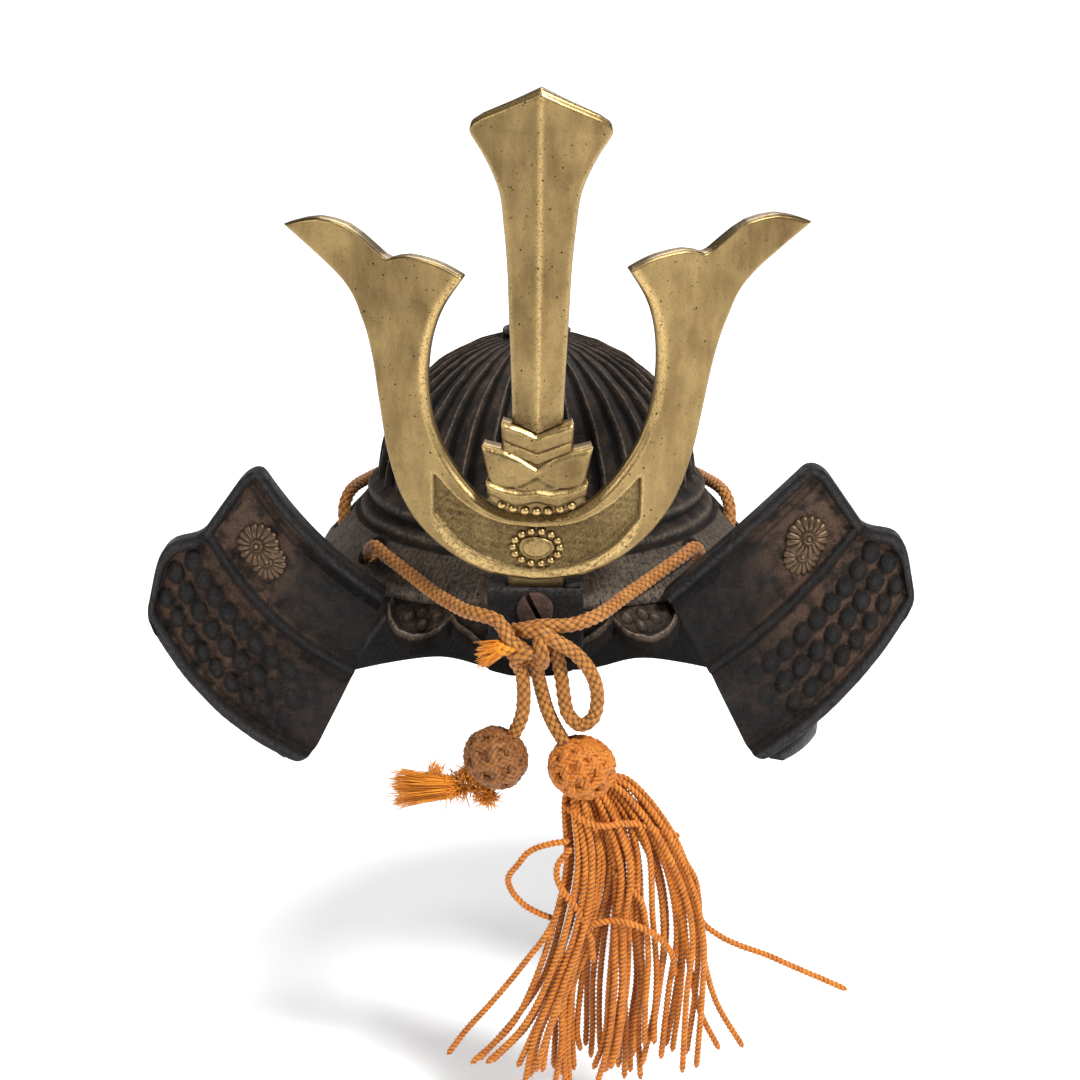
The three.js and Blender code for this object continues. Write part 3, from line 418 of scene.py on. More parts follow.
def brass(name, bright, dull, dark, pitting, gloss):
    """Dull antique brass: soft tone changes, dark specks, dirt and painted shade in the hollows, and worn
    edges with painted highlights.
    """
    n = Nodes(name)
    place = n.place()
    low, wear = n.field("low"), n.field("wear")
    broad = n.noise(place, 22, 3, 0.55)
    cloud = n.noise(n.place((1, 1, 0.3)), 4.5, 4, 0.65)
    grain = n.noise(place, 0.5, 3, 0.6)
    tone = n.plus(n.times(broad, 0.6), n.times(cloud, 0.4))
    colour = n.mix(n.between(tone, 0.38, 0.62), dull, bright)
    colour = n.mix(n.between(grain, 0.5, 0.3, 0, 0.35), colour, [c * 0.5 for c in dull])
    specks = n.between(n.cells(place, 1.5), 0.08, 0.15, 1, 0)
    speck_here = n.between(n.noise(place, 5, 2), 0.52 - pitting, 0.6 - pitting)
    pores = n.between(n.cells(place, 3.7), 0.05, 0.085, 1, 0)
    dark_marks = n.math("MAXIMUM", n.times(specks, speck_here), pores)
    # Dirt and painted shade darken the hollows and feet that the low field marks.
    hollow_dirt_and_shade = n.times(low, n.between(grain, 0.25, 0.6, 1.0, 0.45), clamp=True)
    rub_and_highlight = n.times(wear, n.between(grain, 0.33, 0.52), clamp=True)
    # Rubbed wear and painted highlights brighten the edges that the wear field marks.
    colour = n.mix(rub_and_highlight, colour, [min(1, c * 1.9) for c in bright])
    grime_and_shade = n.math("MAXIMUM", dark_marks, hollow_dirt_and_shade)
    colour = n.mix(grime_and_shade, colour, dark)
    rough = n.plus(n.between(tone, 0.3, 0.7, gloss + 0.1, gloss), n.times(grime_and_shade, 0.35), True)
    height = n.math("SUBTRACT", n.times(grain, 0.25), n.times(dark_marks, 0.8))
    height = n.plus(height, n.times(n.times(grain, low), 2.5))
    return n.finish(colour=colour, rough=rough, metal=0.9, normal=n.bump(height, 0.6, 0.2))


def fibre(name, bright, mid, dark, sheen):
    """Dyed cord: bright on the plies and darker between them by painted shade, with tone changes along the
    run.
    """
    n = Nodes(name)
    place = n.place()
    low = n.field("low")
    broad = n.noise(place, 9, 3)
    fleck = n.noise(place, 1.6, 2)
    thread = n.noise(n.place((1.0, 0.25, 1.0), n.field("flow")), 0.22, 2)
    tone = n.plus(n.times(broad, 0.45), n.times(fleck, 0.55))
    colour = n.mix(n.between(tone, 0.36, 0.62), mid, bright)
    colour = n.mix(n.between(thread, 0.3, 0.7, 0, 0.45), colour, dark)
    # Painted shade between the plies and stitches, from the low field.
    colour = n.mix(n.times(low, 0.95, clamp=True), colour, [c * 0.3 for c in dark])
    normal = n.bump(thread, 0.5, 0.1)
    return n.finish(colour=colour, rough=0.55, normal=normal, sheen=sheen, sheen_rough=0.4, specular=0.3)


iron_brown = cast_iron(
    "cast_iron_brown", (0.0085, 0.0068, 0.006), (0.058, 0.035, 0.023), (0.21, 0.165, 0.125), 0.9, 0.5, 1.0,
)
iron_black = cast_iron(
    "cast_iron_black", (0.0042, 0.004, 0.0043), (0.105, 0.06, 0.038), (0.055, 0.05, 0.05), 0.1, 0.27,
)
brass_dull = brass(
    "antique_brass", (0.31, 0.215, 0.088), (0.155, 0.1, 0.04), (0.022, 0.014, 0.008), 0.06, 0.3,
)
brass_dark = brass(
    "bronze_brown", (0.13, 0.085, 0.052), (0.085, 0.052, 0.034), (0.02, 0.012, 0.008), 0.1, 0.42,
)
screw_rust = cast_iron(
    "rusted_screw", (0.035, 0.02, 0.015), (0.095, 0.046, 0.034), (0.15, 0.09, 0.07), 0.9, 0.42,
)
cord_orange = fibre("golden_orange_braid", (0.6, 0.26, 0.05), (0.42, 0.145, 0.02), (0.13, 0.034, 0.005), 0.2)
cord_brown = fibre("darkened_braid", (0.46, 0.18, 0.04), (0.24, 0.075, 0.012), (0.07, 0.02, 0.005), 0.2)
tassel_orange = fibre("orange_strands", (0.82, 0.29, 0.03), (0.62, 0.17, 0.012), (0.24, 0.05, 0.004), 0.25)
fray_orange = fibre("frayed_ends", (0.95, 0.38, 0.014), (0.78, 0.24, 0.006), (0.4, 0.1, 0.003), 0.35)

# Cord: routes in mm, the middle of each braid

CORD = 3.6
TIE_HALF = [
    (10.2, -91.3, -9.8), (17, -86.8, -8.9), (25, -72.8, -7.7), (34, -58.2, -5.9), (40.8, -48.9, -3.9),
    (44.8, -42.5, -3), (46.5, -38.7, -5.7), (46, -37, -10.5), (46.2, -33, -14.2), (49.2, -24, -15.6),
    (53, -12, -15.4), (56, -4, -12.6), (57.6, 0.2, -7.8), (57.8, 3, -3.6), (56.8, 6.8, -0.6),
    (55.2, 11.4, 0.6), (52.4, 20, 0.6), (47.1, 32.4, 0.6), (38.4, 44.8, 0.6), (25.9, 54.9, 0.6),
]
TIE_BACK = (0, 62.3, 0.6)
TIE_RIGHT_END = [(-4.4, -90.2, -11.6), (-1.9, -91.6, -10.9), (2.6, -92.2, -9.8)]
TIE_LEFT_END = [
    (-16.4, -86, -8), (-12, -90.6, -7.6), (-8.4, -92.6, -8.4), (-6.6, -94, -10.2), (-5, -95, -12.8),
    (-2.4, -94.6, -15), (-0.4, -93, -17),
]
LOOP = [
    (3.2, -94.2, -12.2), (7.6, -95, -13.4), (11.8, -94.4, -16.6), (15, -93.6, -20.6), (17, -93.2, -25),
    (17.6, -93, -30), (16.4, -92.6, -35), (13.2, -92.3, -37), (10, -92.2, -34), (8.9, -92, -29.4),
    (8.2, -91.8, -24), (7.2, -91.5, -18.6), (5.8, -91.6, -14.4),
]
LEFT_TAIL = [
    (2.1, -93.2, -16.6), (-0.4, -95.6, -16), (-2.8, -95.6, -16.9), (-3.6, -94.2, -19), (-2.3, -93.4, -21.4),
    (-1.7, -93.7, -25), (-1.6, -93.8, -29), (-2, -93.6, -33.6), (-3, -93, -36.8), (-4.6, -92.4, -40),
    (-7, -92, -44),
]
RIGHT_TAIL = [
    (1, -92.6, -17), (1.5, -91.8, -20.5), (2.2, -90.8, -24.4), (3.3, -90.6, -29.2), (4.6, -91, -33.6),
    (6.4, -91.4, -37.6), (8.9, -91.8, -41.9), (11.4, -92, -47), (13.4, -92, -54), (14, -92, -64),
    (14, -92, -78),
]
MIDDLE_WRAP = [
    (3, -91.4, -12.4), (2.5, -94.6, -12.6), (3, -96.3, -15), (3.4, -95.2, -18), (2.8, -91.8, -20.4),
]
BRAID_STRANDS = 5
STITCH = 2.4
BRAID_RELIEF = 0.62


def braid_height(run, angle, radius):
    """Height from 0 to 1 of a round braid: two sets of strands that cross over and under."""
    turns = angle / (2 * math.pi) * BRAID_STRANDS
    climb = run / STITCH * (CORD / 2 / radius)
    a, b = turns - climb, turns + climb
    over = (np.floor(a) + np.floor(b)) % 2 == 0
    fa, fb = np.abs(a % 1 - 0.5) * 2, np.abs(b % 1 - 0.5) * 2
    across, length = np.where(over, fa, fb), np.where(over, fb, fa)
    return np.sqrt(np.clip(1 - across**2, 0, 1)) * (1 - 0.55 * length**2)


def braid(build, route, radius=CORD / 2, sides=36, spacing=0.42):
    """Adds a round braid along a route and returns the route's fine points."""
    path = spline(route, spacing)
    lift = {}

    def section(run, angle):
        lift["height"] = braid_height(run, angle, radius)
        return radius + BRAID_RELIEF * (lift["height"] - 0.7)

    rings = sweep(path, sides, section)
    # Painted shade in the gaps between the braid's stitches.
    build.loft(rings, low=1 - step(lift["height"], 0.2, 0.85))
    return path


def cord_piece(name, route, replaces):
    build = Build()
    path = braid(build, route)
    piece = build.piece(name, cord_orange, "cord", replaces)
    half = path[::2] if len(path) % 2 else np.vstack([path[::2], path[-1]])
    to_frame(path[0])
    to_frame(half)
    return piece


def front_knot():
    """The wraps of the knot that the cords' own ends don't make."""
    build = Build()
    braid(build, MIDDLE_WRAP)
    braid(build, [(-1.4, -92.6, -11.2), (1.6, -94.2, -10.8), (4.6, -94.6, -11.4), (6.4, -93.4, -13.4)])
    braid(build, [(-7.4, -93, -13), (-5.6, -91.6, -16.4), (-3, -91.2, -18.6), (0.6, -91.4, -19.4)])
    return build.piece("front_knot_wraps", cord_orange, "cord", ("front_knot",))


add_camera()
knot = front_knot()


def tie_cord():
    mirrored = [(-x, y, z) for x, y, z in TIE_HALF[2:]]
    route = [*TIE_RIGHT_END, *TIE_HALF, TIE_BACK, *mirrored[::-1], *TIE_LEFT_END]
    return cord_piece("tie_braid", route, ("tie_cord",))


tie_cord()
cord_piece("bow_braid", LOOP, ("bow_loop",))


def fibres(build, roots, ways, lengths, thickness, seed, curl, stations=7):
    """Thin loose fibres, each a bent tube of four sides."""
    random = np.random.RandomState(seed)
    for root, way, length in zip(roots, ways, lengths):
        t = np.linspace(0, 1, stations)[:, None]
        bend = random.normal(size=3) * curl * length
        wave = random.normal(size=3) * curl * 0.3 * length * np.sin(3 * t)
        path = root + way * length * t + bend * t**2 + wave
        rings = sweep(path, 4, lambda run, angle: thickness * (1 - 0.55 * run / run[-1]) + 0 * angle)
        build.loft(rings, low=0.25 * random.rand())


def frayed_stub():
    random = np.random.RandomState(4)
    build = Build()
    braid(build, [(-3.4, -94.6, -14), (-6.2, -95, -14.8), (-8.4, -95.2, -15.2)], radius=2.0)
    count = 230
    angle, r = random.uniform(0, 6.28, count), 2.3 * np.sqrt(random.rand(count))
    roots = np.column_stack([np.full(count, -7.4), -95 + r * np.cos(angle), -15.1 + r * np.sin(angle)])
    ways = np.column_stack([np.full(count, -1.0), 0.12 * np.cos(angle) * r, -0.33 + 0.1 * np.sin(angle) * r])
    fibres(build, roots, ways, random.uniform(3.2, 6.0, count), 0.2, 5, curl=0.12)
    return build.piece("frayed_stub_fibres", fray_orange, "fray", ("frayed_stub",))


frayed_stub()

BALL = np.array((-9.0, -92.0, -46.4))
BALL_RADIUS = 8.4


def woven_ball(build, centre, radius, leads, bights, reach, tilt):
    """A ball of one cord wound over and under itself, round a core of small stitches."""
    cord_radius = 1.35
    turn = np.linspace(0, 2 * math.pi, 1500)
    rise = reach * np.sin(bights * turn + 0.4)
    r = radius - cord_radius + 0.45 * np.cos(2 * bights * turn + 0.8)
    loop = np.column_stack([
        r * np.cos(rise) * np.cos(leads * turn),
        r * np.cos(rise) * np.sin(leads * turn),
        r * np.sin(rise),
    ])
    braid(build, (centre + loop @ np.array(tilt).T)[:-3:4], radius=cord_radius, sides=18, spacing=0.5)
    climb = np.radians(np.linspace(-88, 88, 76))[:, None]
    round_ = np.linspace(0, 2 * math.pi, 150, endpoint=False)[None, :]
    stitch = braid_height(climb * radius * 1.6, round_ * 4, 1.8)
    core = radius - 1.5 + 0.4 * stitch
    grid = np.stack([
        core * np.cos(climb) * np.cos(round_),
        core * np.cos(climb) * np.sin(round_),
        core * np.sin(climb),
    ], -1)
    # Painted shade in the dips between the core's stitches.
    build.loft(centre + grid, low=1 - step(stitch, 0.0, 0.7))


def ball_knot():
    build = Build()
    tilt = [[0.8, 0.2, 0.56], [-0.3, 0.95, 0.1], [-0.52, -0.25, 0.82]]
    woven_ball(build, BALL, BALL_RADIUS, 8, 7, 1.25, tilt)
    return build.piece("ball_knot_weave", cord_brown, "cord", ("ball_knot",))


def frayed_tuft():
    random = np.random.RandomState(8)
    build = Build()
    wads = [
        (-15.6, -51, 3.2), (-17.5, -53.6, 3.4), (-13, -55.4, 3.0), (-20.5, -54.6, 2.9), (-14.6, -47.6, 2.2),
        (-11, -57.4, 2.4),
    ]
    for x, z, size in wads:
        count = 150
        way = random.normal(size=(count, 3))
        way /= np.linalg.norm(way, axis=1)[:, None]
        roots = np.array((x, -92.4, z)) + way * size * 0.45
        lengths = random.uniform(0.55, 1.0, count) * size * 0.85
        fibres(build, roots, way, lengths, 0.24, int(10 * size), curl=0.5, stations=6)
    count = 420
    angle, r = random.uniform(0, 6.28, count), np.sqrt(random.rand(count))
    y, z = r * np.cos(angle), r * np.sin(angle)
    roots = np.column_stack([np.full(count, -19.5), -92.2 + 2.6 * y, -54.6 + 2.6 * z])
    ways = np.column_stack([np.full(count, -1.0), 0.12 * y, -0.06 + 0.16 * z])
    fibres(build, roots, ways, random.uniform(12.5, 16.8, count), 0.19, 9, curl=0.05, stations=8)
    count = 60
    x, z = random.uniform(-28, -25, count), random.uniform(-55, -53, count)
    roots = np.column_stack([x, np.full(count, -92.0), z])
    ways = [random.normal(0.35, 0.08, count), random.normal(0, 0.06, count), random.normal(0.9, 0.05, count)]
    ways = np.column_stack(ways)
    fibres(build, roots, ways, random.uniform(5.0, 7.4, count), 0.16, 12, curl=0.08)
    return build.piece("frayed_tuft_fibres", fray_orange, "fray", ("frayed_tuft",))


ball = ball_knot()
tuft = frayed_tuft()
cord_piece("left_tail_braid", LEFT_TAIL, ("left_tail",))

# Tassel

HEAD = np.array((13.7, -92.0, -49.0))
HEAD_RADIUS = 8.9
STRAND = 1.9
TWIST_PITCH = 2.6


def twist(build, route, phase=0.0, radius=STRAND / 2, spacing=0.34):
    """A strand of two plies wound round each other, as one tube with a turning oval section."""
    path = spline(route, spacing)
    lift = {}

    def section(run, angle):
        lift["ply"] = np.cos(2 * (angle - 2 * math.pi * run / TWIST_PITCH) + phase)
        ends = step(run, 0.0, 1.0) * step(run[-1] - run, 0.0, 1.2)
        return radius * (0.86 + 0.17 * lift["ply"]) * (0.5 + 0.5 * ends)

    rings = sweep(path, 8, section)
    # Painted shade in the groove between the two plies.
    build.loft(rings, low=0.85 * step(-lift["ply"], 0.15, 0.95))
    return path


def tassel_head():
    build = Build()
    tilt = [[0.93, 0.1, 0.34], [-0.1, 1.0, 0.0], [-0.34, 0.0, 0.94]]
    woven_ball(build, HEAD, HEAD_RADIUS, 7, 9, 1.0, tilt)
    return build.piece("tassel_head_weave", tassel_orange, "cord")


# Bundles of strands: the way of each from the head down as (x, height), its strands and its depth
BUNDLES = [
    {"way": [(11, -56), (12, -74), (9, -90), (4, -108), (-3, -122), (-13, -136)], "count": 4, "depth": -5},
    {"way": [(13, -56), (16, -74), (13, -93), (9, -108), (3, -124), (0, -139)], "count": 5, "depth": -6},
    {"way": [(15, -55), (20, -74), (16, -94), (10, -111), (9, -127), (9, -141)], "count": 6, "depth": -2},
    {"way": [(17, -55), (22, -74), (18, -94), (16, -111), (16, -127), (16, -137)], "count": 4, "depth": 3},
    {"way": [(18, -55), (25, -74), (24, -93), (24, -111), (22, -127), (20, -137)], "count": 6, "depth": -5},
    {"way": [(20, -54), (26, -71), (27, -90), (27, -111), (27, -127), (27, -140)], "count": 4, "depth": 2},
    {"way": [(21, -54), (29, -68), (31, -90), (32, -108), (31, -121), (31, -132)], "count": 2, "depth": -4},
    {"way": [(22, -54), (31, -67), (36, -80), (38, -96), (37, -111), (34, -134)], "count": 4, "depth": 0},
    {"way": [(23, -53), (34, -65), (41, -82), (44, -97), (43, -113), (42, -136)], "count": 4, "depth": -3},
    {"way": [(23, -53), (35, -67), (42, -85), (44, -100), (48, -119), (55, -133)], "count": 2, "depth": 1},
]


def strand_routes():
    """Routes of the tassel's strands: each keeps a place of its own in its bundle."""
    random = np.random.RandomState(21)
    routes = []
    for bundle in BUNDLES:
        way = np.array([(x, HEAD[1] + bundle["depth"], z) for x, z in bundle["way"]])
        for k in range(bundle["count"]):
            number = len(routes)
            place = 2 * k / max(1, bundle["count"] - 1) - 1
            reach = np.linspace(1.5, 2.9, len(way))[:, None]
            shift = np.array((place, math.sin(2.4 * number), 0))
            route = way + reach * shift + random.normal(0, 0.4, way.shape)
            route[0, 1] = HEAD[1] + 0.6 * bundle["depth"] + 1.5 * math.sin(2.4 * number)
            route[-1, 2] += random.uniform(-1, 5)
            routes.append([(route[0] + HEAD) / 2 + (0, 0, -1.5), *route])
    return routes


def tassel_skirt():
    build = Build()
    for phase, route in enumerate(strand_routes()):
        twist(build, route, phase)
    return build.piece("tassel_skirt", tassel_orange, "cord", ("tassel",))


head = tassel_head()
skirt = tassel_skirt()
cord_piece("right_tail_braid", RIGHT_TAIL, ("right_tail",))

STRAYS = {
    "stray_right": [
        (33, -91, -69), (38.7, -90, -72.2), (41.1, -90, -76.2), (44.2, -89, -82.1), (45.4, -88, -88.5),
        (46.4, -87, -95.5), (51, -87, -99.7), (56.5, -87, -102.6), (64.2, -87, -105.5), (71.9, -87, -109.1),
        (79.6, -87, -112.6), (86.5, -87, -115.8),
    ],
    "stray_loop": [
        (10.5, -99, -67), (5.3, -99, -67.9), (0, -98, -70.4), (-3.2, -98, -74.3), (-5.7, -97, -78.4),
        (-5.1, -96, -82.5), (-2, -96, -86.5), (1.8, -96, -89), (6.5, -96, -91),
    ],
    "stray_left": [
        (8.5, -98, -85.5), (4.4, -98, -94.5), (-0.6, -98, -101.6), (-5.8, -97, -109.3), (-11.2, -97, -116.2),
        (-17.3, -96, -124), (-22.5, -96, -131.6),
    ],
    "stray_hook": [
        (11, -99, -69), (7.4, -99.6, -73.6), (7.4, -100, -78), (9.6, -100, -82), (13, -99.5, -87),
        (16, -99, -94), (17, -99, -102),
    ],
    "stray_across": [
        (16, -100, -91), (19.7, -100.5, -89.4), (25, -100.5, -89.4), (30.2, -100, -91.6), (34.7, -98, -95.6),
        (38, -96, -101), (39, -95, -108),
    ],
    "stray_middle": [
        (22, -97, -76), (26.4, -97, -81.3), (29.6, -97, -85.4), (31.1, -97, -93.6), (31.7, -97, -102.7),
        (31.1, -97, -115.2), (31, -96, -128),
    ],
    "stray_short": [
        (9, -96, -58), (14, -99, -61), (19, -99.5, -62.5), (24, -98, -62.4), (29, -96, -63.4),
        (34.4, -95, -65.6), (39.7, -94, -67.6),
    ],
}


def stray_strands():
    """Single strands that hang apart from the bundles."""
    for phase, (name, route) in enumerate(STRAYS.items()):
        build = Build()
        path = twist(build, route, phase)
        piece = build.piece(name, tassel_orange, "cord")
        to_frame(path[0])
        to_frame(path)


stray_strands()

# Bowl

HALF_WIDTH, HALF_DEPTH, BOWL_HEIGHT, WALL = 49.0, 56.0, 50.0, 3.0
RIBS, GORE = 32, 26.0
FLANGE_START, FLANGE_REACH, FLANGE_DROP, FLANGE_THICK = 5.0, 15.0, 2.0, 3.0
FRONT_SLOPE, SIDE_SLOPE = 0.78, 1.1
FULLNESS, RIB_FOOT = 2.0, 6.0
DOME_INSET = 3.0
RIB_SECTION = [
    (0, -1.45), (0.06, -1.5), (0.11, -1.2), (0.14, 0.2), (0.165, 0.95), (0.2, 1.2), (0.24, 1.0),
    (0.31, 0.65), (0.42, 0.4), (0.55, 0.1), (0.68, -0.25), (0.8, -0.7), (0.9, -1.15), (1, -1.45),
]


def ring_point(angle, offset, z):
    a = np.radians(angle)
    x, y = (HALF_WIDTH + offset) * np.sin(a), -(HALF_DEPTH + offset) * np.cos(a)
    return np.stack(np.broadcast_arrays(x, y, z), -1)


def flange_top(angle, offset):
    slope = FRONT_SLOPE + (SIDE_SLOPE - FRONT_SLOPE) * np.sin(np.radians(angle)) ** 2
    return -FLANGE_DROP - (offset - FLANGE_START) * slope


def rib_columns():
    """Plan angles of the bowl's columns, and each one's height and shade from the ribs."""
    phases = [row[0] for row in RIB_SECTION[:-1]]
    pitch = (180 - GORE / 2) / (RIBS / 2)
    half = [GORE / 2 + (i + phase) * pitch for i in range(RIBS // 2) for phase in phases]
    lifts = [lift for _ in range(RIBS // 2) for _, lift in RIB_SECTION[:-1]]
    gore = np.linspace(-GORE / 2, GORE / 2, 18)[1:-1]
    angles = [*gore, *half, 180.0, *[360 - a for a in half[::-1]]]
    lifts = [*(0.1 + 0 * gore), *lifts, -1.45, *lifts[::-1]]
    return np.array(angles), np.array(lifts)


MOULDING = [
    (-2.5, 8.7), (-1.0, 7.4), (0.4, 6.4), (1.0, 5.3), (0.7, 4.2), (0.1, 3.2), (0.4, 2.3), (1.8, 1.4),
    (3.0, 0.3), (3.2, -0.8), (3.6, -1.6), (4.9, -2.0),
]
HOLES = [(53, 8.2, 1.25), (91, 8.4, 1.6)]


def bowl():
    angles, lifts = rib_columns()
    climbs = np.r_[88, 84, np.linspace(80, 4, 44)]
    rows, low, wear, flow = [], [], [], []

    def add_row(points, dark, bright, along, turn):
        rows.append(points)
        low.append(np.broadcast_to(dark, angles.shape))
        wear.append(np.broadcast_to(bright, angles.shape))
        flow.append(np.stack([np.radians(angles) * turn, along + 0 * angles, 0 * angles], -1))

    for climb in np.radians(climbs):
        r = math.cos(climb) ** (2 / FULLNESS)
        z = RIB_FOOT + (BOWL_HEIGHT - RIB_FOOT) * math.sin(climb) ** (2 / FULLNESS)
        fade = min(1, r * 1.5)
        swell = lifts * fade
        a = np.radians(angles)
        across, ahead = (HALF_WIDTH - DOME_INSET) * r + swell, (HALF_DEPTH - DOME_INSET) * r + swell
        ring = np.stack([across * np.sin(a), -ahead * np.cos(a), z + 0 * a], -1)
        ring += 0.22 * lumps(ring, 9, 3)[:, None] * ring / np.linalg.norm(ring, axis=1)[:, None]
        # Painted shade in the grooves between the ribs and a painted highlight along each rib's lip.
        lip = bell(lifts, 1.2, 0.03)
        add_row(ring, step(-lifts, 0.3, 1.25) * min(1, 0.2 + fade), 0.9 * lip, math.degrees(climb), 50)
    foot_lifts = lifts * 0.35
    moulding = spline([(x, z, 0) for x, z in MOULDING], 0.62)[:, :2]
    for k, (offset, z) in enumerate(moulding):
        fade = max(0, 1 - k / 5)
        ring = ring_point(angles, offset + foot_lifts * fade, z + 0 * angles)
        ring += 0.15 * lumps(ring, 7, 4)[:, None] * np.array((0, 0, 1))
        # Painted highlights on the moulding's two crests and painted shade in its two hollows.
        crest = 0.4 * math.exp(-((z - 0.4) ** 2) / 0.4) + 0.45 * math.exp(-((z - 5.6) ** 2) / 0.4)
        shade = 0.85 * math.exp(-((z - 3.1) ** 2) / 0.5) + 0.8 * math.exp(-((z + 1.6) ** 2) / 0.3)
        add_row(ring, shade, crest, z, 55)
    for offset in np.linspace(FLANGE_START, FLANGE_REACH - 0.5, 17):
        ring = ring_point(angles, offset, flange_top(angles, offset))
        strokes = np.sin(np.radians(angles) * 210 + 2 * lumps(ring, 5, 6))
        ring[:, 2] += 0.16 * lumps(ring, 6, 5) + 0.09 * strokes
        shade = 0.25 * math.exp(-(offset - 5) / 1.5)
        add_row(ring, shade, 0.35 + 0.3 * step(offset, 12.5, 14.5), offset, 66)
    for back, drop, bright in ((0.1, 0.4, 0.8), (0, 1.1, 0.7), (0, 2.6, 0.3)):
        offset = FLANGE_REACH - back
        add_row(ring_point(angles, offset, flange_top(angles, offset) - drop), 0, bright, offset, 66)
    outer = np.array(rows)

    inner = []
    for k in range(len(outer)):
        if k < len(climbs):
            climb = math.radians(climbs[k])
            r, h = math.cos(climb) ** (2 / FULLNESS), math.sin(climb) ** (2 / FULLNESS)
            z = RIB_FOOT + (BOWL_HEIGHT - WALL - RIB_FOOT) * h
            a = np.radians(angles)
            across, ahead = HALF_WIDTH - DOME_INSET - WALL, HALF_DEPTH - DOME_INSET - WALL
            inner.append(np.stack([across * r * np.sin(a), -ahead * r * np.cos(a), z + 0 * a], -1))
        else:
            share = (k - len(climbs)) / (len(outer) - 1 - len(climbs))
            offset = -WALL + (FLANGE_REACH - 0.2 + WALL) * share
            z = 6 - 8 * share if offset < 1 else flange_top(angles, offset) - FLANGE_THICK
            under = flange_top(angles, max(offset, 0)) - min(1 + share * 12, FLANGE_THICK)
            inner.append(ring_point(angles, offset, np.minimum(z + 0 * angles, under)))
    inner = np.array(inner)

    # The inside of the bowl is darkened by painted shade.
    build = Build().shell(outer, inner, flow=flow, back_low=0.3, low=low, wear=wear)
    piece = build.piece("ribbed_bowl", iron_brown, "iron_brown", ("bowl",))
    cut_holes(piece)


def cut_holes(piece):
    """Cuts the four oval cord holes through the flange."""
    for side in (-1, 1):
        for turn, offset, stretch in HOLES:
            angle = np.linspace(0, 2 * math.pi, 40, endpoint=False)
            a = math.radians(side * (turn - 90))
            flat = np.stack([3.6 * np.cos(angle), 3.6 * stretch * np.sin(angle)], -1)
            turned = flat @ np.array([[math.cos(a), math.sin(a)], [-math.sin(a), math.cos(a)]])
            centre = ring_point(side * turn, offset, 0)
            rings = np.array([[(x + centre[0], y + centre[1], z) for x, y in turned] for z in (-24, 3)])
            mesh = bpy.data.meshes.new("hole")
            number = np.arange(80).reshape(2, 40)
            faces = [*grid_faces(number, True), number[0][::-1].tolist(), number[1].tolist()]
            mesh.from_pydata(to_frame(rings.reshape(-1, 3)).tolist(), [], faces)
            cutter = bpy.data.objects.new("hole", mesh)
            bpy.context.collection.objects.link(cutter)
            cut = piece.modifiers.new("hole", "BOOLEAN")
            cut.operation, cut.solver, cut.object = "DIFFERENCE", "MANIFOLD", cutter
            bpy.context.view_layer.update()
            evaluated = piece.evaluated_get(bpy.context.evaluated_depsgraph_get())
            result = bpy.data.meshes.new_from_object(evaluated)
            piece.modifiers.clear()
            piece.data = result
            bpy.data.objects.remove(cutter)


bowl()


def crown_knob():
    profile = [
        (0.3, 0), (9.0, 0), (9.9, 0.3), (9.7, 1.2), (8.4, 1.7), (7.4, 1.9), (6.7, 2.8), (5.6, 4.0),
        (3.4, 4.7), (0.3, 5.0),
    ]
    rings = lathe(profile, 96, 0.35)
    rings += 0.12 * lumps(rings, 5, 11)[..., None]
    rings[..., 2] += 50.2
    rise = rings[..., 2] - 50.2
    # Painted shade in the crease at the step, and wear with a painted highlight on the top.
    build = Build().loft(rings, low=0.5 * bell(rise, 1.9, 0.1), wear=0.3 + 0.4 * step(rise, 3, 4.6))
    return build.piece("crown_boss", iron_brown, "iron_brown", ("crown_knob",))


crown_knob()

# Peak

PEAK_ANGLE, PEAK_TUCK, PEAK_SLOPE, PEAK_THICK = 38.0, 5.0, 0.58, 3.5
# The scalloped edge: plan angle and offset from the bowl
LOBES = [
    (0, 30), (4, 29.8), (8, 28.5), (10.4, 26), (13.2, 23.7), (16.6, 21.3), (19, 18.4), (20.4, 22.5),
    (22.5, 25), (25.7, 26.3), (29.8, 25.2), (33.8, 21.9), (37.4, 17.5), (38, 16.5),
]
CUSP = 19 / PEAK_ANGLE
STARS = [(22.6, 17.5), (27, 16.8), (25.2, 20.3), (29.6, 18.6)]
STAR_RADIUS = 1.6


def peak_top(angle, offset):
    tucked = flange_top(angle, np.minimum(offset, FLANGE_REACH)) - FLANGE_THICK - 0.9
    return tucked - np.maximum(0, offset - FLANGE_REACH) * PEAK_SLOPE


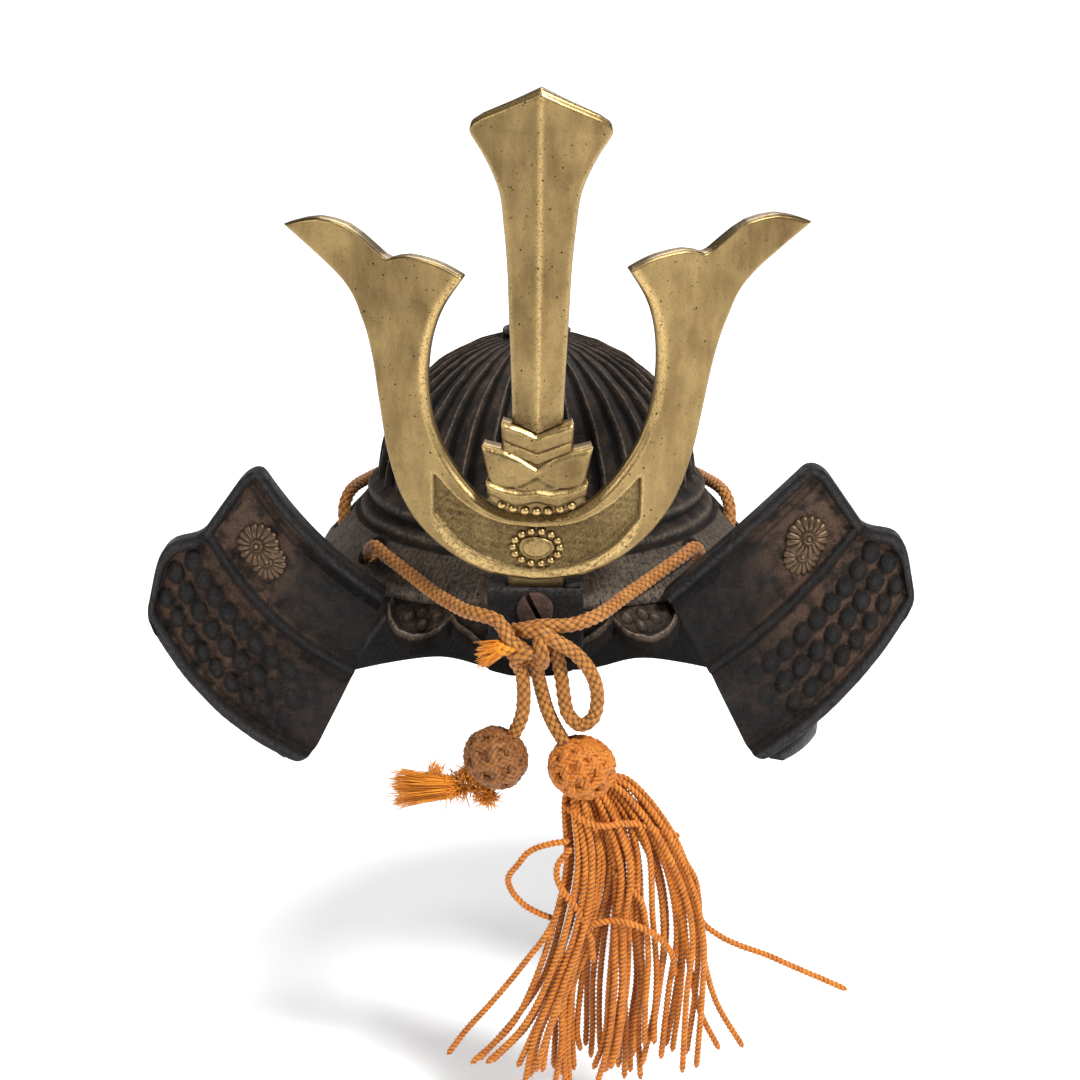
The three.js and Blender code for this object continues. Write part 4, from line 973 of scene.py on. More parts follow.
def peak():
    turn = np.unique(np.r_[np.linspace(-1, 1, 281), -CUSP, CUSP])[None, :]
    share = np.r_[np.linspace(0, 0.18, 5), np.linspace(0.2, 1, 74)][:, None]
    angle = turn * PEAK_ANGLE + 0 * share
    edge = table(LOBES, np.abs(angle))
    inner_edge = FLANGE_REACH - PEAK_TUCK
    tucked = inner_edge + PEAK_TUCK * share / 0.2
    offset = np.where(share < 0.2, tucked, FLANGE_REACH + (edge - FLANGE_REACH) * (share - 0.2) / 0.8)
    base = ring_point(angle, offset, peak_top(angle, offset))
    away = edge - offset
    side_away = (1 - np.abs(turn)) * PEAK_ANGLE * 1.4
    rim_place = np.minimum(away, side_away + 100 * (share < 0.2))
    lip = step(rim_place, 2.6, 1.5) * (1 - 0.85 * step(rim_place, 0.9, 0.0))
    groove = bell(rim_place, 3.4, 0.9)
    rise = 1.1 * lip - 0.3 * groove + 0.2 * lumps(base, 7, 14) + 0.1 * lumps(base, 2.6, 15)
    star_low, star_top = np.zeros(rise.shape), np.zeros(rise.shape)
    for side in (-1, 1):
        for plan, out in STARS:
            spot = ring_point(side * plan, out, 0)
            away2 = np.hypot(base[..., 0] - spot[0], base[..., 1] - spot[1]) / STAR_RADIUS
            rise = rise + 1.05 * np.sqrt(np.clip(1 - away2**2, 0, 1))
            star_low += 0.8 * bell(away2, 1.12, 0.02)
            star_top += step(away2, 0.75, 0.2)
    outer = base + rise[..., None] * np.array((0, 0, 1))
    under = base - np.array((0, 0, PEAK_THICK))
    # Painted shade in the groove, round the stars' feet, on the edge and on the underside; painted
    # highlights with wear on the stars' tops and the rim's lip.
    low = np.clip(0.7 * groove + star_low + step(away, 0.6, 0.1), 0, 1)
    wear = np.clip(0.1 + 0.5 * star_top + bell(rim_place, 1.35, 0.2), 0, 1)
    rust = 0.25 + 0.55 * bell(np.abs(angle), 26, 40)
    flow = np.stack(np.broadcast_arrays(np.radians(angle) * 72, offset, 0.0), -1)
    build = Build().plate(outer, under, flow=flow, back_low=0.9, low=low, wear=wear, rust=rust)
    return build.piece("scalloped_peak", iron_brown, "iron_brown", ("peak",))


peak()

# Turnbacks

TURN_FRONT, TURN_THICK, TURN_SWEEP, TURN_SWEEP_START = -61.5, 4.5, 0.004, 45.0
TURNBACKS = {
    "left": {
        "side": -1, "top_inner": (40, -10.3), "top_outer": (75, 26), "ridge_inner": (49.3, -34),
        "notch": (90.3, 4.8), "low_inner": (63, -61.5), "low_outer": (111.8, -17.3), "arch": (2.7, 5, 7),
    },
    "right": {
        "side": 1, "top_inner": (36, -10.5), "top_outer": (76.5, 27), "ridge_inner": (48.8, -33),
        "notch": (90, 7.4), "low_inner": (62, -60.3), "low_outer": (109.3, -11.4), "arch": (0, 2.5, 5),
    },
}
FLOWERS = {"left": (0.72, 0.27, (2.6, -4.4)), "right": (0.74, 0.29, (-1.4, -5.2))}
RIM = 2.2


def turn_depth(x):
    return TURN_FRONT + TURN_SWEEP * np.maximum(0, np.abs(x) - TURN_SWEEP_START) ** 2


def corner_inset(radius, away):
    inside = np.maximum(0, radius - away)
    return radius - np.sqrt(np.maximum(0, radius * radius - inside * inside))


def turn_place(spec, u, v):
    """Plane place [x, z] on a turnback: u from its inner to its outer end, v down it."""
    u, v = np.broadcast_arrays(np.asarray(u, float), np.asarray(v, float))
    local = np.where(v <= 0.5, v * 2, v * 2 - 1)

    def down_panel(top, middle, bottom, share, upper):
        top, middle, bottom = (np.array(value, float) for value in (top, middle, bottom))
        return np.where(upper, top + (middle - top) * share, middle + (bottom - middle) * share)

    inner = spec["top_inner"], spec["ridge_inner"], spec["low_inner"]
    outer = spec["top_outer"], spec["notch"], spec["low_outer"]
    start = down_panel(*inner, local[..., None], (v <= 0.5)[..., None])
    end = down_panel(*outer, local[..., None], (v <= 0.5)[..., None])
    arch = down_panel(*spec["arch"], local, v <= 0.5)
    length = np.linalg.norm(end - start, axis=-1)
    belly = np.where(v <= 0.5, 0, 4 * np.sin(math.pi * np.minimum(1, local * 1.1)) ** 2)
    height = length * 0.28
    low_inset = corner_inset(9, (1 - local) * height) - belly
    inset = np.where(v <= 0.5, corner_inset(5, local * height), low_inset)
    start_inset = np.where(v <= 0.5, 0, corner_inset(4.5, (1 - local) * height))
    way = (start_inset + u * (length - inset - start_inset)) / length
    across = (end - start) / length[..., None]
    down = np.stack([across[..., 1], -across[..., 0]], -1)
    return start + (end - start) * way[..., None] + down * (arch * 4 * way * (1 - way))[..., None]


def turn_point(spec, u, v, proud):
    place = turn_place(spec, u, v)
    return np.stack([spec["side"] * place[..., 0], turn_depth(place[..., 0]) - proud, place[..., 1]], -1)


# Rows of bumps: place down the panel and the size of their bumps
BUMP_ROWS = [(0.632, 1.12), (0.745, 1.1), (0.855, 1.0)]
BUMP_COLUMNS = np.linspace(0.17, 0.895, 9)


def bead(x, middle, half):
    return np.sqrt(np.clip(1 - ((x - middle) / half) ** 2, 0, 1))


def lame_relief(u, v, outer_rim=True):
    """Height, painted shade, and wear with painted highlights of a lame pair's front: rolled rims, an inner
    line and a raised ridge.
    """
    top = step(v, 0.066, 0.05) * (0.62 + 0.38 * bead(v, 0.03, 0.034))
    line = 0.34 * bell(v, 0.115, 0.0003)
    ridge = 0.95 * np.exp(-(((v - 0.475) / 0.026) ** 4))
    ledge = -0.3 * bell(v, 0.535, 0.0006)
    bottom = step(v, 0.93, 0.948) * (0.62 + 0.38 * bead(v, 0.97, 0.033))
    outer = step(u, 0.94, 0.955) * (0.62 + 0.38 * bead(u, 0.976, 0.026)) if outer_rim else 0 * u
    parts = [top, bottom, outer, ridge, line]
    height = np.maximum.reduce([part + 0 * u * v for part in parts]) + ledge
    shade = 0.6 * bell(v, 0.08, 0.00012) + 0.9 * bell(v, 0.512, 0.00016)
    shade = shade + 0.5 * bell(v, 0.92, 0.0001)
    # Painted highlight, with wear, along the crests of the rims.
    wear = 0.45 * step(height, 0.965, 0.995)
    rust = 1 - step(height, 0.15, 0.4)
    return height, shade + 0 * u, wear, rust


def turnback(side):
    spec = TURNBACKS[side]
    u = np.r_[np.linspace(0, 0.92, 118), np.linspace(0.925, 1, 26)][None, :]
    v = np.linspace(0, 1, 180)[:, None]
    relief, shade, wear, rust = lame_relief(u, v)
    base = turn_point(spec, u, v, 0)
    bumps, bump_shade, bump_foot = (np.zeros(relief.shape) for _ in range(3))
    for v0, size in BUMP_ROWS:
        for u0 in BUMP_COLUMNS:
            spot, ahead = turn_place(spec, u0, v0), turn_place(spec, u0 + 0.02, v0)
            way = (ahead - spot) / np.linalg.norm(ahead - spot)
            dx, dz = np.abs(base[..., 0]) - spot[0], base[..., 2] - spot[1]
            along = (dx * way[0] + dz * way[1]) / (2.75 * size)
            across = (-dx * way[1] + dz * way[0]) / (2.5 * size)
            near = along**2 + (across - 0.25 * along) ** 2
            fade = 0.3 + 0.7 * step(u0, 0.12, 0.4)
            bumps = np.maximum(bumps, fade * np.sqrt(np.clip(1 - near, 0, 1)))
            bump_shade = np.maximum(bump_shade, step(near, 1.1, 0.75))
            bump_foot = np.maximum(bump_foot, 0.8 * bell(near, 1.0, 0.015))
    proud = RIM * relief + 2.1 * bumps
    proud += 0.18 * lumps(base, 8, 20) + 0.08 * lumps(base, 2.2, 21)
    front = turn_point(spec, u, v, proud)
    back = turn_point(spec, u, v, -TURN_THICK + 0 * proud)
    plain = step(v, 0.46, 0.4) * step(u, 0.66, 0.4)
    rust = rust * (1 - bump_shade) * (0.15 + 0.85 * step(u, 0.12, 0.6)) * (1 - 0.75 * plain)
    # Painted shade round the feet of the bumps.
    shade = np.maximum(shade, bump_foot * step(u, 0.1, 0.3))
    flow = np.stack(np.broadcast_arrays(u * 60, v * 60, 0.0), -1)
    build = Build().plate(front, back, flow=flow, low=np.clip(shade, 0, 1), wear=wear, rust=rust)
    return build.piece(f"turnback_{side}_relief", iron_black, "iron_black", (f"turnback_{side}",))


def turn_basis(spec, u, v):
    centre = turn_point(spec, u, v, 0.0)
    slope = 2 * TURN_SWEEP * max(0, abs(centre[0]) - TURN_SWEEP_START)
    out = np.array((spec["side"] * slope, -1, 0))
    out /= np.linalg.norm(out)
    return centre, np.cross((0, 0, 1), out), out


def flower_grid(radius, petals, depth):
    """A flower as a polar grid: the place in its plane, the height and the shade."""
    r = np.linspace(0.02, 1, 26)[:, None]
    t = np.linspace(0, 2 * math.pi, petals * 12, endpoint=False)[None, :]
    lobe = np.abs(np.sin(t * petals / 2))
    edge = radius * (0.84 + 0.16 * np.sqrt(lobe))
    ridge = np.sqrt(lobe) * step(r, 0.22, 0.5)
    height = depth * (0.45 + 0.4 * ridge) * np.sqrt(np.clip(1.02 - r**4, 0, 1))
    hub = step(r, 0.3, 0.22) * (1 - 0.5 * bell(r, 0.15, 0.002))
    height = np.maximum(height, depth * 1.25 * hub)
    shade = np.clip((1 - lobe) ** 3 * (r > 0.3) + bell(r, 0.31, 0.001) + 0 * r, 0, 1)
    return r * edge * np.cos(t), r * edge * np.sin(t), height + 0 * t, shade


def flower_crest(side):
    spec = TURNBACKS[side]
    u, v, fan = FLOWERS[side]
    centre, across, out = turn_basis(spec, u, v)
    build = Build()
    for radius, shift, depth, sink in ((6.3, (0, 0), 1.7, 0.0), (5.4, fan, 1.3, 0.25)):
        x, z, height, shade = flower_grid(radius, 16, depth)
        place = centre + (x + shift[0])[..., None] * across + (z + shift[1])[..., None] * np.array((0, 0, 1))
        front = place + (height + 0.3 - sink)[..., None] * out
        back = place - 0.2 * out
        # Painted shade between the petals and round the hub, and painted highlights with wear on the highest
        # parts.
        build.shell(front, back, low=shade * 0.7, wear=(height / depth > 0.8) * 0.6)
    return build.piece(f"flower_{side}", brass_dark, "brass_dark", (f"flower_crest_{side}",))


for name in TURNBACKS:
    turnback(name)
    flower_crest(name)

# Neck guard


def guard_start(a, b, shift):
    start = 0.6
    for _ in range(12):
        end_y = turn_depth(a * math.sin(start)) + TURN_THICK + 0.6
        start = math.acos((shift - end_y) / b)
    return start


def guard_row(turns, depth, proud):
    """One row of the guard from its right end round the back to its left; depth goes down it."""
    spread = depth**0.9
    a, b = 62 + 22 * spread, 69 + 23 * spread
    shift = -2 * spread
    start = guard_start(a, b, shift)
    angle = start + (2 * math.pi - 2 * start) * turns
    x, y = (a + proud) * np.sin(angle), shift - (b + proud) * np.cos(angle)
    high = flange_top(np.degrees(angle), 13) - FLANGE_THICK - 0.9
    low = -68 - 0.115 * y - 7 * np.exp(-((x / 27) ** 4))
    return np.stack([x, y, high + (low - high) * depth], -1)


def neck_guard():
    turns = np.linspace(0, 1, 420)
    depths = np.linspace(0, 1, 110)
    outer, inner, lows, wears, rusts, flows = [], [], [], [], [], []
    bump_rows = [(0.6, 0.0), (0.71, 0.5), (0.82, 0.0)]
    for depth in depths:
        relief, shade, wear, rust = lame_relief(0.5 + 0 * turns, depth + 0 * turns, False)
        relief = relief * (depth > 0.3)
        wear = wear * (depth > 0.3)
        bumps = np.zeros(turns.shape)
        for row_depth, shift in bump_rows:
            along = ((turns * 62 + shift) % 1 - 0.5) * 2.5
            across = (depth - row_depth) / 0.034
            bumps = np.maximum(bumps, np.sqrt(np.clip(1 - along**2 - across**2, 0, 1)))
        row = guard_row(turns, depth, 1.6 * relief + 1.1 * bumps)
        row += 0.2 * lumps(row, 8, 30)[:, None] * np.array((0.7, 0.7, 0))
        outer.append(row)
        inner.append(guard_row(turns, depth, -3.0 + 0 * turns))
        lows.append(np.clip(shade * (depth > 0.3), 0, 1))
        rusts.append(rust * (1 - step(bumps, 0.1, 0.4)))
        wears.append(wear)
        flows.append(np.stack([turns * 300, depth * 60 + 0 * turns, 0 * turns], -1))
    fields = {"low": np.array(lows), "wear": np.array(wears), "rust": np.array(rusts)}
    # The inside of the guard is painted in full shade.
    build = Build().plate(np.array(outer), np.array(inner), flow=np.array(flows), back_low=1.0, **fields)
    return build.piece("neck_guard_lames", iron_black, "iron_black", ("neck_guard",))


neck_guard()

# Crest

CREST_BEND, CREST_FLAT, CREST_LEAN, CREST_ROLL = 85.0, 31.0, math.radians(5), math.radians(0.75)
CREST_PLACE = np.array((1.2, -78.0, -10.0))
HORN_THICK = 4.0
HORN_INNER = [
    (0, 27.7), (7, 28.3), (13.5, 31.3), (19.5, 37.3), (24.5, 44.5),
    (28, 52.5), (29.8, 61), (30.2, 69), (29.4, 77), (27, 84.5), (22, 92.5),
]
HORN_OUTER = [
    (0, 9.7), (11, 11.2), (20.5, 15.2), (29.3, 21.8), (36, 31),
    (40.3, 43), (43, 56), (45.4, 68), (48.6, 78), (54.5, 88.5), (71.3, 101.6),
]
HORN_TOP = [
    (0, 0), (0.06, 0.9), (0.11, 1.5), (0.16, 1.8), (0.24, 1.8), (0.3, 1.5), (0.36, 0.4), (0.4, -0.7),
    (0.44, -0.3), (0.5, 1.2), (0.58, 3.1), (0.66, 4.4), (0.74, 4.6), (0.82, 4.2), (0.9, 2.7), (0.95, 1.4),
(1, 0), ]
# The left horn's end stands further in and lower than the right one's
LEFT_IN, LEFT_DOWN = 3.4, 2.4
RECESS_INNER = [(0, 24.8), (10, 26), (19, 30.8), (25.5, 37.4)]
RECESS_OUTER = [(0, 12.8), (10, 14.2), (19, 18.7), (27, 27.5)]


def crest_point(s, t, d):
    """Bends flat crest places round the bowl, then leans them and sets them in place."""
    s, t, d = np.broadcast_arrays(np.asarray(s, float), np.asarray(t, float), np.asarray(d, float))
    flat = CREST_BEND * math.asin(CREST_FLAT / CREST_BEND)
    arc = np.minimum(np.abs(s), flat) / CREST_BEND
    beyond = np.maximum(0, np.abs(s) - flat)
    x = np.sign(s) * (CREST_BEND * np.sin(arc) + beyond * np.cos(arc) + d * np.sin(arc))
    y = CREST_BEND * (1 - np.cos(arc)) + beyond * np.sin(arc) - d * np.cos(arc)
    cr, sr, cl, sl = math.cos(CREST_ROLL), math.sin(CREST_ROLL), math.cos(CREST_LEAN), math.sin(CREST_LEAN)
    x, z = x * cr + t * sr, -x * sr + t * cr
    return np.stack([x, y * cl - z * sl, y * sl + z * cl], -1) + CREST_PLACE


def edge_share(points, s, t):
    """Distance in mm from flat crest places to a curve drawn on the crest, and the side it is on."""
    curve = curve2(points, np.linspace(0, 1, 80))
    height = np.interp(np.abs(s), curve[:, 0], curve[:, 1])
    slope = np.interp(np.abs(s), curve[:, 0], np.gradient(curve[:, 1], curve[:, 0]))
    return (t - height) / np.sqrt(1 + slope**2)


def horns():
    station = np.linspace(-1, 1, 521)[None, :]
    across = np.r_[0, 0.012, np.linspace(0.03, 0.97, 52), 0.988, 1][:, None]
    a = np.abs(station) + 0 * across
    inner, outer = curve2(HORN_INNER, a), curve2(HORN_OUTER, a)
    place = inner + (outer - inner) * across[..., None]
    rise = step(a, 0.86, 1) * table(HORN_TOP, across)
    left = station < 0
    s = (place[..., 0] - 0.15 * rise - left * LEFT_IN * step(a, 0.25, 1)) * np.where(left, -1, 1)
    t = place[..., 1] + rise - left * LEFT_DOWN * step(a, 0.5, 1)
    width = np.linalg.norm(outer - inner, axis=-1)
    from_inner, from_outer = across * width, (1 - across) * width
    foot = step(a, 0.55, 0.42)
    bevel = 1.1 * (1 - step(from_inner, 0.0, 1.7)) * step(a, 0.98, 0.8)
    bevel = bevel + 0.6 * (1 - step(from_outer, 0, 0.8))
    top_edge = (1 - a) * 130 + 4 * (a < 0.9)
    bevel = np.maximum(bevel, 0.7 * (1 - step(top_edge, 0, 0.9)))
    below, above = edge_share(RECESS_INNER, s, t), edge_share(RECESS_OUTER, s, t)
    ends = 26.2 - np.abs(s)
    inside = np.minimum(np.minimum(-below, above), ends)
    floor = step(inside, -0.15, 0.45)
    rim_band = step(above, -2.6, -1.9) * step(above, 0.2, -0.3) * step(np.abs(s), 27.5, 24) * 0.5
    flat = np.stack([s, t, 0 * s], -1)
    grit = lumps(flat, 1.5, 40) + lumps(flat, 0.8, 41)
    crease = 0.25 * bell(np.abs(s) + 0.12 * (t - 40), 29.5, 1.2) * step(t, 27, 33) * step(t, 60, 46)
    dent = 0.08 * lumps(flat, 11, 42)
    front = HORN_THICK - bevel - 1.4 * floor + 0.12 * grit * np.maximum(floor, rim_band) - crease + dent
    back_bevel = 0.6 * (1 - step(np.minimum(from_inner, from_outer), 0, 0.7))
    # The recess floor darker, painted shade along the recess wall and in the crease, and painted highlights
    # with wear on the bevels and round the recess.
    low = 0.72 * floor * (0.75 + 0.25 * grit) + 0.5 * bell(inside, 0, 0.12) + 0.3 * crease
    bright = 0.9 * bell(from_inner, 0.9, 0.7) + 1.6 * rim_band * (grit > -0.4)
    bright = bright + 0.4 * bell(from_outer, 0, 0.5)
    bright = np.maximum(bright, 0.7 * np.exp(-((inside + 0.35) ** 2) / 0.08))
    build = Build().plate(
        crest_point(s, t, front), crest_point(s, t, back_bevel),
        low=np.clip(low, 0, 1), wear=np.clip(bright, 0, 1) * (1 - floor),
    )
    corners = ((-7, 0.3), (7, 0.3), (7, 3.7), (-7, 3.7))
    tang = between_points(np.array([[(x, y, d) for x, d in corners] for y in np.linspace(-2.3, 13, 9)]), 12)
    # The tang, inside the holder, gets an even painted shade.
    build.loft(crest_point(tang[..., 0], tang[..., 1], tang[..., 2]), low=0.55)
    return build.piece("horns", brass_dull, "brass", ("crest_horns",))


horns()


MEDALLION_BEADS, SOCKET_BEADS = 14, 7


def medallion():
    """An oval boss inside a ring of beads on the floor of the recess."""
    build = Build()
    middle = (RECESS_INNER[0][1] + RECESS_OUTER[0][1]) / 2
    floor = HORN_THICK - 1.35
    r = np.linspace(0.02, 1, 24)[:, None]
    angle = np.linspace(0, 2 * math.pi, 120, endpoint=False)[None, :]
    scale = 1 + 0.05 * np.sin(3 * angle + 1)
    x, y = 4.6 * r * np.cos(angle) * scale, 3.2 * r * np.sin(angle) * scale
    height = 1.05 * np.sqrt(np.clip(1.05 - r**6, 0, 1)) - 0.3 * bell(r, 0.8, 0.004) + 0 * angle
    height += 0.08 * lumps(np.stack([x, y, 0 * x], -1), 2, 50)
    front, back = crest_point(x, middle + y, floor + height), crest_point(x, middle + y, floor - 0.3)
    # Painted shade and dirt in the groove round the boss.
    dark_marks = np.r_[np.ravel(0.5 * bell(r, 0.8, 0.004) + 0 * angle), np.zeros(angle.size)]
    build.loft(np.concatenate([front, back[-1:]]), low=dark_marks, wear=0.25)
    profile = [(0.12, 1.2), (0.7, 1.0), (1.1, 0.4), (1.2, -0.2), (0.9, -0.6), (0.1, -0.7)]
    for turn in np.arange(MEDALLION_BEADS) * 2 * math.pi / MEDALLION_BEADS:
        cx, cy = 5.95 * math.cos(turn), middle + 4.55 * math.sin(turn)
        points, height = small_bead(profile, lambda x, y, z: crest_point(cx + x, cy + y, floor + z))
        # Painted shade at the beads' feet and painted highlights with wear on their crowns.
        build.loft(points, low=step(height, 0.4, -0.3) * 0.8, wear=step(height, 0.6, 1.2))
    return build.piece("medallion", brass_dull, "brass", ("crest_medallion",))


medallion()

BLADE = [
    (50.6, 6.4), (53, 6.4), (66, 6.8), (80, 7.4), (94, 8), (103, 8.8), (112, 10), (120, 13.4), (126.6, 17.6),
]
BLADE_TOP = [(0, 137.6), (0.35, 134.6), (0.8, 131), (0.955, 129.2), (1, 126.8)]


def blade():
    share = np.unique(np.r_[np.linspace(-1, 1, 61), -0.015, 0.015, -0.97, 0.97, -0.985, 0.985])[:, None]
    rise = np.linspace(0, 1, 260)[None, :]
    rows = spline([(t, half, 0) for t, half in BLADE], 0.5)
    top = table(BLADE_TOP, np.abs(share))
    t = 50.8 + 2.2 * np.abs(share) + (top - 50.8 - 2.2 * np.abs(share)) * rise
    half = np.interp(t, rows[:, 0], rows[:, 1])
    half = np.where(t > 126.6, 17.6, half)
    s = half * share
    ridge = 5.4 - (5.4 - 2.7) * np.abs(share)
    from_side = (1 - np.abs(share)) * half
    from_top = np.minimum(top - t, 9)
    ridge = ridge - 0.9 * (1 - step(from_side, 0, 0.8)) - 1.1 * (1 - step(from_top, 0, 1.5))
    flat = np.stack([s, t, 0 * s], -1)
    grit = 0.05 * lumps(flat, 9, 60)
    tiny = bell(np.abs(s), 0.6, 0.15) * step(t, 110, 70) * 0.18
    front = ridge + grit - tiny
    back = 0.5 * (1 - step(np.minimum(from_side, from_top), 0, 0.6))
    # Painted highlights with wear along the middle ridge, the sides and the top; painted shade at the foot
    # by the socket and darker in patches towards the bottom.
    wear = 0.75 * bell(s, 0, 0.4) + 0.6 * bell(from_side, 0.5, 0.25) + 0.7 * bell(from_top, 0.7, 0.5)
    low = 0.5 * step(t, 57, 51.5) + 0.25 * step(t, 78, 55) * (0.5 + 0.5 * lumps(flat, 1.5, 61))
    build = Build().plate(
        crest_point(s, t, front), crest_point(s, t, back), low=np.clip(low, 0, 1), wear=np.clip(wear, 0, 1),
    )
    return build.piece("blade", brass_dull, "brass", ("crest_blade",))


blade()

TIERS = [
    {"front": 1.5, "top": [(0, 50.2), (4, 51.9), (8.8, 53.4)], "bottom": [(0, 45), (8.6, 48.4)]},
    {"front": 0.8, "top": [(0, 46), (8.6, 49.4)], "bottom": [(0, 41.6), (8.9, 45)]},
    {"front": 0.2, "top": [(0, 43.6), (8.8, 46.8)], "bottom": [(0, 40), (9.2, 43)]},
    {"front": 1.9, "top": [(0, 41.2), (4.4, 44.2), (8, 45.8), (13.6, 47)], "bottom": [(0, 34), (11.4, 36)]},
    {"front": 2.8, "top": [(0, 36), (4, 35.4), (8, 36.1), (12.4, 37.8)],
     "bottom": [(0, 32.2), (5, 31), (12, 34.4)]},
    {"front": 0.6, "top": [(0, 33), (11, 36)], "bottom": [(0, 28.1), (7, 28.7), (12.4, 31.7)]},
]


def socket():
    build = Build()
    for k, spec in enumerate(TIERS):
        top, bottom = np.array(spec["top"]), np.array(spec["bottom"])
        share = np.linspace(-1, 1, 67)[None, :]
        down = np.r_[0, 0.02, np.linspace(0.05, 0.95, 15), 0.98, 1][:, None]
        s_top, s_bottom = np.abs(share) * top[-1, 0], np.abs(share) * bottom[-1, 0]
        t_top = np.interp(s_top, top[:, 0], top[:, 1])
        t_bottom = np.interp(s_bottom, bottom[:, 0], bottom[:, 1])
        s = np.sign(share) * (s_top + (s_bottom - s_top) * down)
        t = t_top + (t_bottom - t_top) * down
        away = np.minimum(np.minimum(t_top - t, t - t_bottom), (1 - np.abs(share)) * 12)
        round_off = 0.85 * (1 - step(away, 0, 1.0))
        flat = np.stack([s, t, 0 * s], -1)
        front = 4 + spec["front"] - round_off + 0.1 * lumps(flat, 3, 70 + k)
        if k == 3:
            front = front - 0.5 * bell(np.abs(s) * 0.62 + t, 39.5, 0.5) * step(np.abs(s), 9, 6)
        # Painted shade and dirt along each tier's foot, and painted highlights with wear on each tier's top
        # edge.
        grime_and_shade = 0.55 * step(t - t_bottom, 1.6, 0.1)
        wear = bell(t_top - t, 0.7, 0.35)
        low = np.clip(grime_and_shade + 0.2 * lumps(flat, 1.1, 80), 0, 1)
        build.plate(crest_point(s, t, front), crest_point(s, t, 0 * front), low=low, wear=wear)
    profile = [(0.1, 1.25), (0.7, 1.05), (1.15, 0.4), (1.2, -0.3), (0.8, -0.8), (0.1, -0.9)]
    for share in np.linspace(-1, 1, SOCKET_BEADS):
        s, t = share * 8.5, 29.6 + 1.6 * share * share
        points, height = small_bead(profile, lambda x, y, z: crest_point(s + x, t + y, 4.7 + z))
        # Painted shade at the beads' feet and painted highlights with wear on their crowns.
        build.loft(points, low=step(height, 0.3, -0.4) * 0.9, wear=step(height, 0.4, 1.1))
    return build.piece("stepped_socket", brass_dull, "brass", ("crest_socket",))


socket()

# Holder and screw


def rounded_block(build, x0, x1, y0, y1, z0, z1, radius=0.9):
    """Adds an upright block with rounded upright edges and a rounded top rim."""
    corners = ((x1, y0, -90), (x1, y1, 0), (x0, y1, 90), (x0, y0, 180))
    levels = [(z0, 0.3), (z0 + 0.3, 0)]
    for a in np.linspace(0, math.pi / 2, 6):
        levels.append((z1 - radius + radius * math.sin(a), radius * (1 - math.cos(a))))
    rings = []
    for z, inset in levels:
        ring = []
        for cx, cy, start in corners:
            mx = cx + (-1 if cx == x1 else 1) * (inset + radius)
            my = cy + (-1 if cy == y1 else 1) * (inset + radius)
            for a in np.radians(np.linspace(start, start + 90, 6)):
                ring.append((mx + radius * math.cos(a), my + radius * math.sin(a), z))
        rings.append(ring)
    rows = between_points(np.array(rings), 5)
    parts = []
    for k in range(len(rows) - 1):
        parts.append(np.linspace(rows[k], rows[k + 1], 12 if k == 1 else 3, endpoint=False))
    fine = np.concatenate([*parts, rows[-1:]])
    fine = fine + 0.16 * lumps(fine, 4, 90)[..., None]
    height = fine[..., 2]
    # Painted highlight with wear on the top rim, and painted shade darkening towards the bottom.
    build.loft(fine, wear=0.95 * bell(height, z1 - 0.2, 0.5), low=0.25 * step(height, z1 - 4, z0))


def holder():
    """The block on the peak, with the pocket that takes the crest's tang."""
    build = Build()
    x0, x1, y0, y1, top = -11.3, 13.7, -85.5, -72.5, -1.8
    rounded_block(build, x0, x1, y0, -83.0, -20.6, top)
    rounded_block(build, x0, x1, -76.6, y1, -15, top)
    rounded_block(build, x0, -6.2, -83.6, -76, -18, top)
    rounded_block(build, 8.9, x1, -83.6, -76, -18, top)
    rounded_block(build, -7, 9.6, -83.6, -76, -18.5, -13.4)
    return build.piece("holder_block", iron_black, "iron_black", ("crest_holder",))


holder()


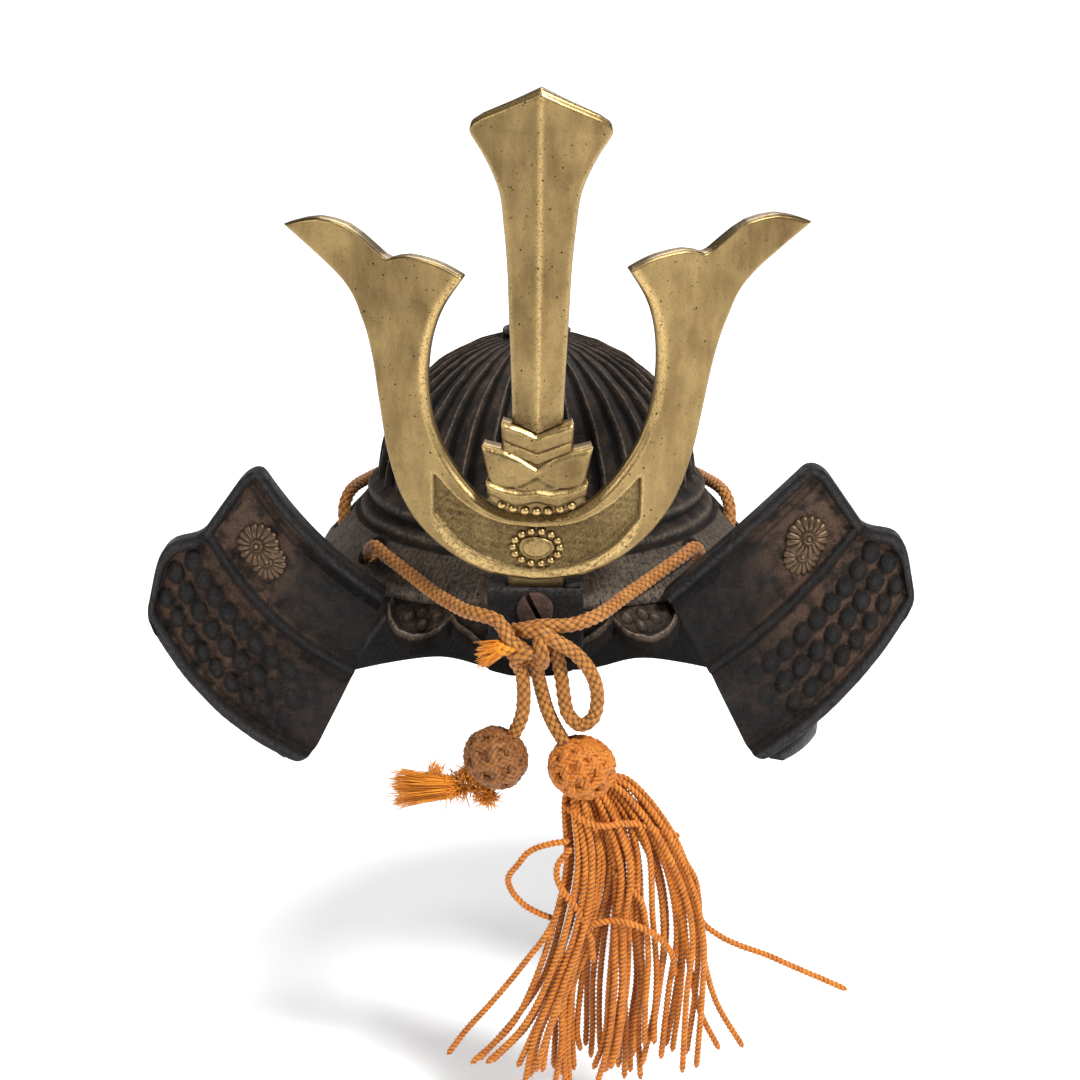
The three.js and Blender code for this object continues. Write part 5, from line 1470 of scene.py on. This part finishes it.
def screw():
    build = Build()
    shaft, head, radius, middle = 3.4, 1.7, 4.8, np.array((1.2, -85.8, -7.4))
    r = np.linspace(0.02, 1, 40)[:, None]
    angle = np.linspace(0, 2 * math.pi, 160, endpoint=False)[None, :]
    x, z = r * radius * np.cos(angle), r * radius * np.sin(angle)
    turn = math.radians(-63)
    across = x * math.sin(turn) - z * math.cos(turn)
    slot_here = step(np.abs(across), 0.78, 0.55)
    dome = head - 0.55 * r**4 - 0.5 * step(r, 0.93, 1.0)
    rise = dome - 1.15 * slot_here + 0.05 * lumps(np.stack([x, z, 0 * x], -1), 1.4, 95)
    front = np.stack([x, -rise, z], -1)
    behind = []
    for r_behind, y in ((radius, 0.2), (2.4, 0.2), (2.4, shaft)):
        behind.append(np.stack([r_behind * np.cos(angle), y + 0 * angle, r_behind * np.sin(angle)], -1))
    rings = np.concatenate([front, *behind]) + middle
    extra = np.zeros((len(behind), angle.size))
    # Painted shade in the slot, and painted highlights with wear on the slot's edges and the rim.
    low = np.concatenate([slot_here * 1.0, extra])
    wear = 0.55 * bell(np.abs(across), 0.95, 0.04) + 0.35 * step(r + 0 * angle, 0.8, 0.95)
    build.loft(rings, low=low, wear=np.concatenate([wear, extra]))
    return build.piece("slotted_screw", screw_rust, "screw_iron", ("crest_screw",))


screw()

# Stage


def stage_floor():
    mesh = bpy.data.meshes.new("floor")
    reach, z = 30.0, -0.2
    corners = [(-reach, -reach, z), (reach, -reach, z), (reach, reach, z), (-reach, reach, z)]
    mesh.from_pydata(corners, [], [(0, 1, 2, 3)])
    floor = bpy.data.objects.new("floor", mesh)
    bpy.context.collection.objects.link(floor)
    n = Nodes("pale_floor")
    away = n.node("VectorMath", {0: n.place()}, operation="LENGTH").outputs["Value"]
    glow = {"Emission Color": (1, 1, 1), "Emission Strength": n.between(away, 500, 1400, 0.45, 1)}
    for socket, value in glow.items():
        n.set(n.shader.inputs[socket], value)
    mesh.materials.append(n.finish(colour=(0.9, 0.9, 0.9), rough=0.9, specular=0.0))


stage_floor()


def studio_light():
    """A pale world that is brighter to the upper right, and soft lamps."""
    world = bpy.data.worlds.new("studio")
    bpy.context.scene.world = world
    world.use_nodes = True
    tree = world.node_tree
    way = tree.nodes.new("ShaderNodeTexCoord").outputs["Generated"]
    towards = tree.nodes.new("ShaderNodeVectorMath")
    towards.operation = "DOT_PRODUCT"
    towards.inputs[1].default_value = (0.8, -0.25, 0.55)
    tree.links.new(way, towards.inputs[0])
    ramp = tree.nodes.new("ShaderNodeMapRange")
    ramp.inputs["From Min"].default_value = -0.9
    ramp.inputs["From Max"].default_value = 0.9
    ramp.inputs["To Min"].default_value = 0.35
    ramp.inputs["To Max"].default_value = 1.15
    tree.links.new(towards.outputs["Value"], ramp.inputs["Value"])
    tree.links.new(ramp.outputs[0], tree.nodes["Background"].inputs["Strength"])
    middle = (0, 0, -0.05)
    add_light("key", (0.65, -0.65, 0.9), middle, 0.3, 20)
    add_light("fill", (-0.9, -0.7, 0.45), middle, 0.5, 4)
    add_light("back", (0.1, 1.1, 0.9), middle, 0.8, 9)
    add_light("top", (0.05, -0.1, 1.3), middle, 0.7, 9)


studio_light()
bpy.context.scene.view_settings.view_transform = "Standard"
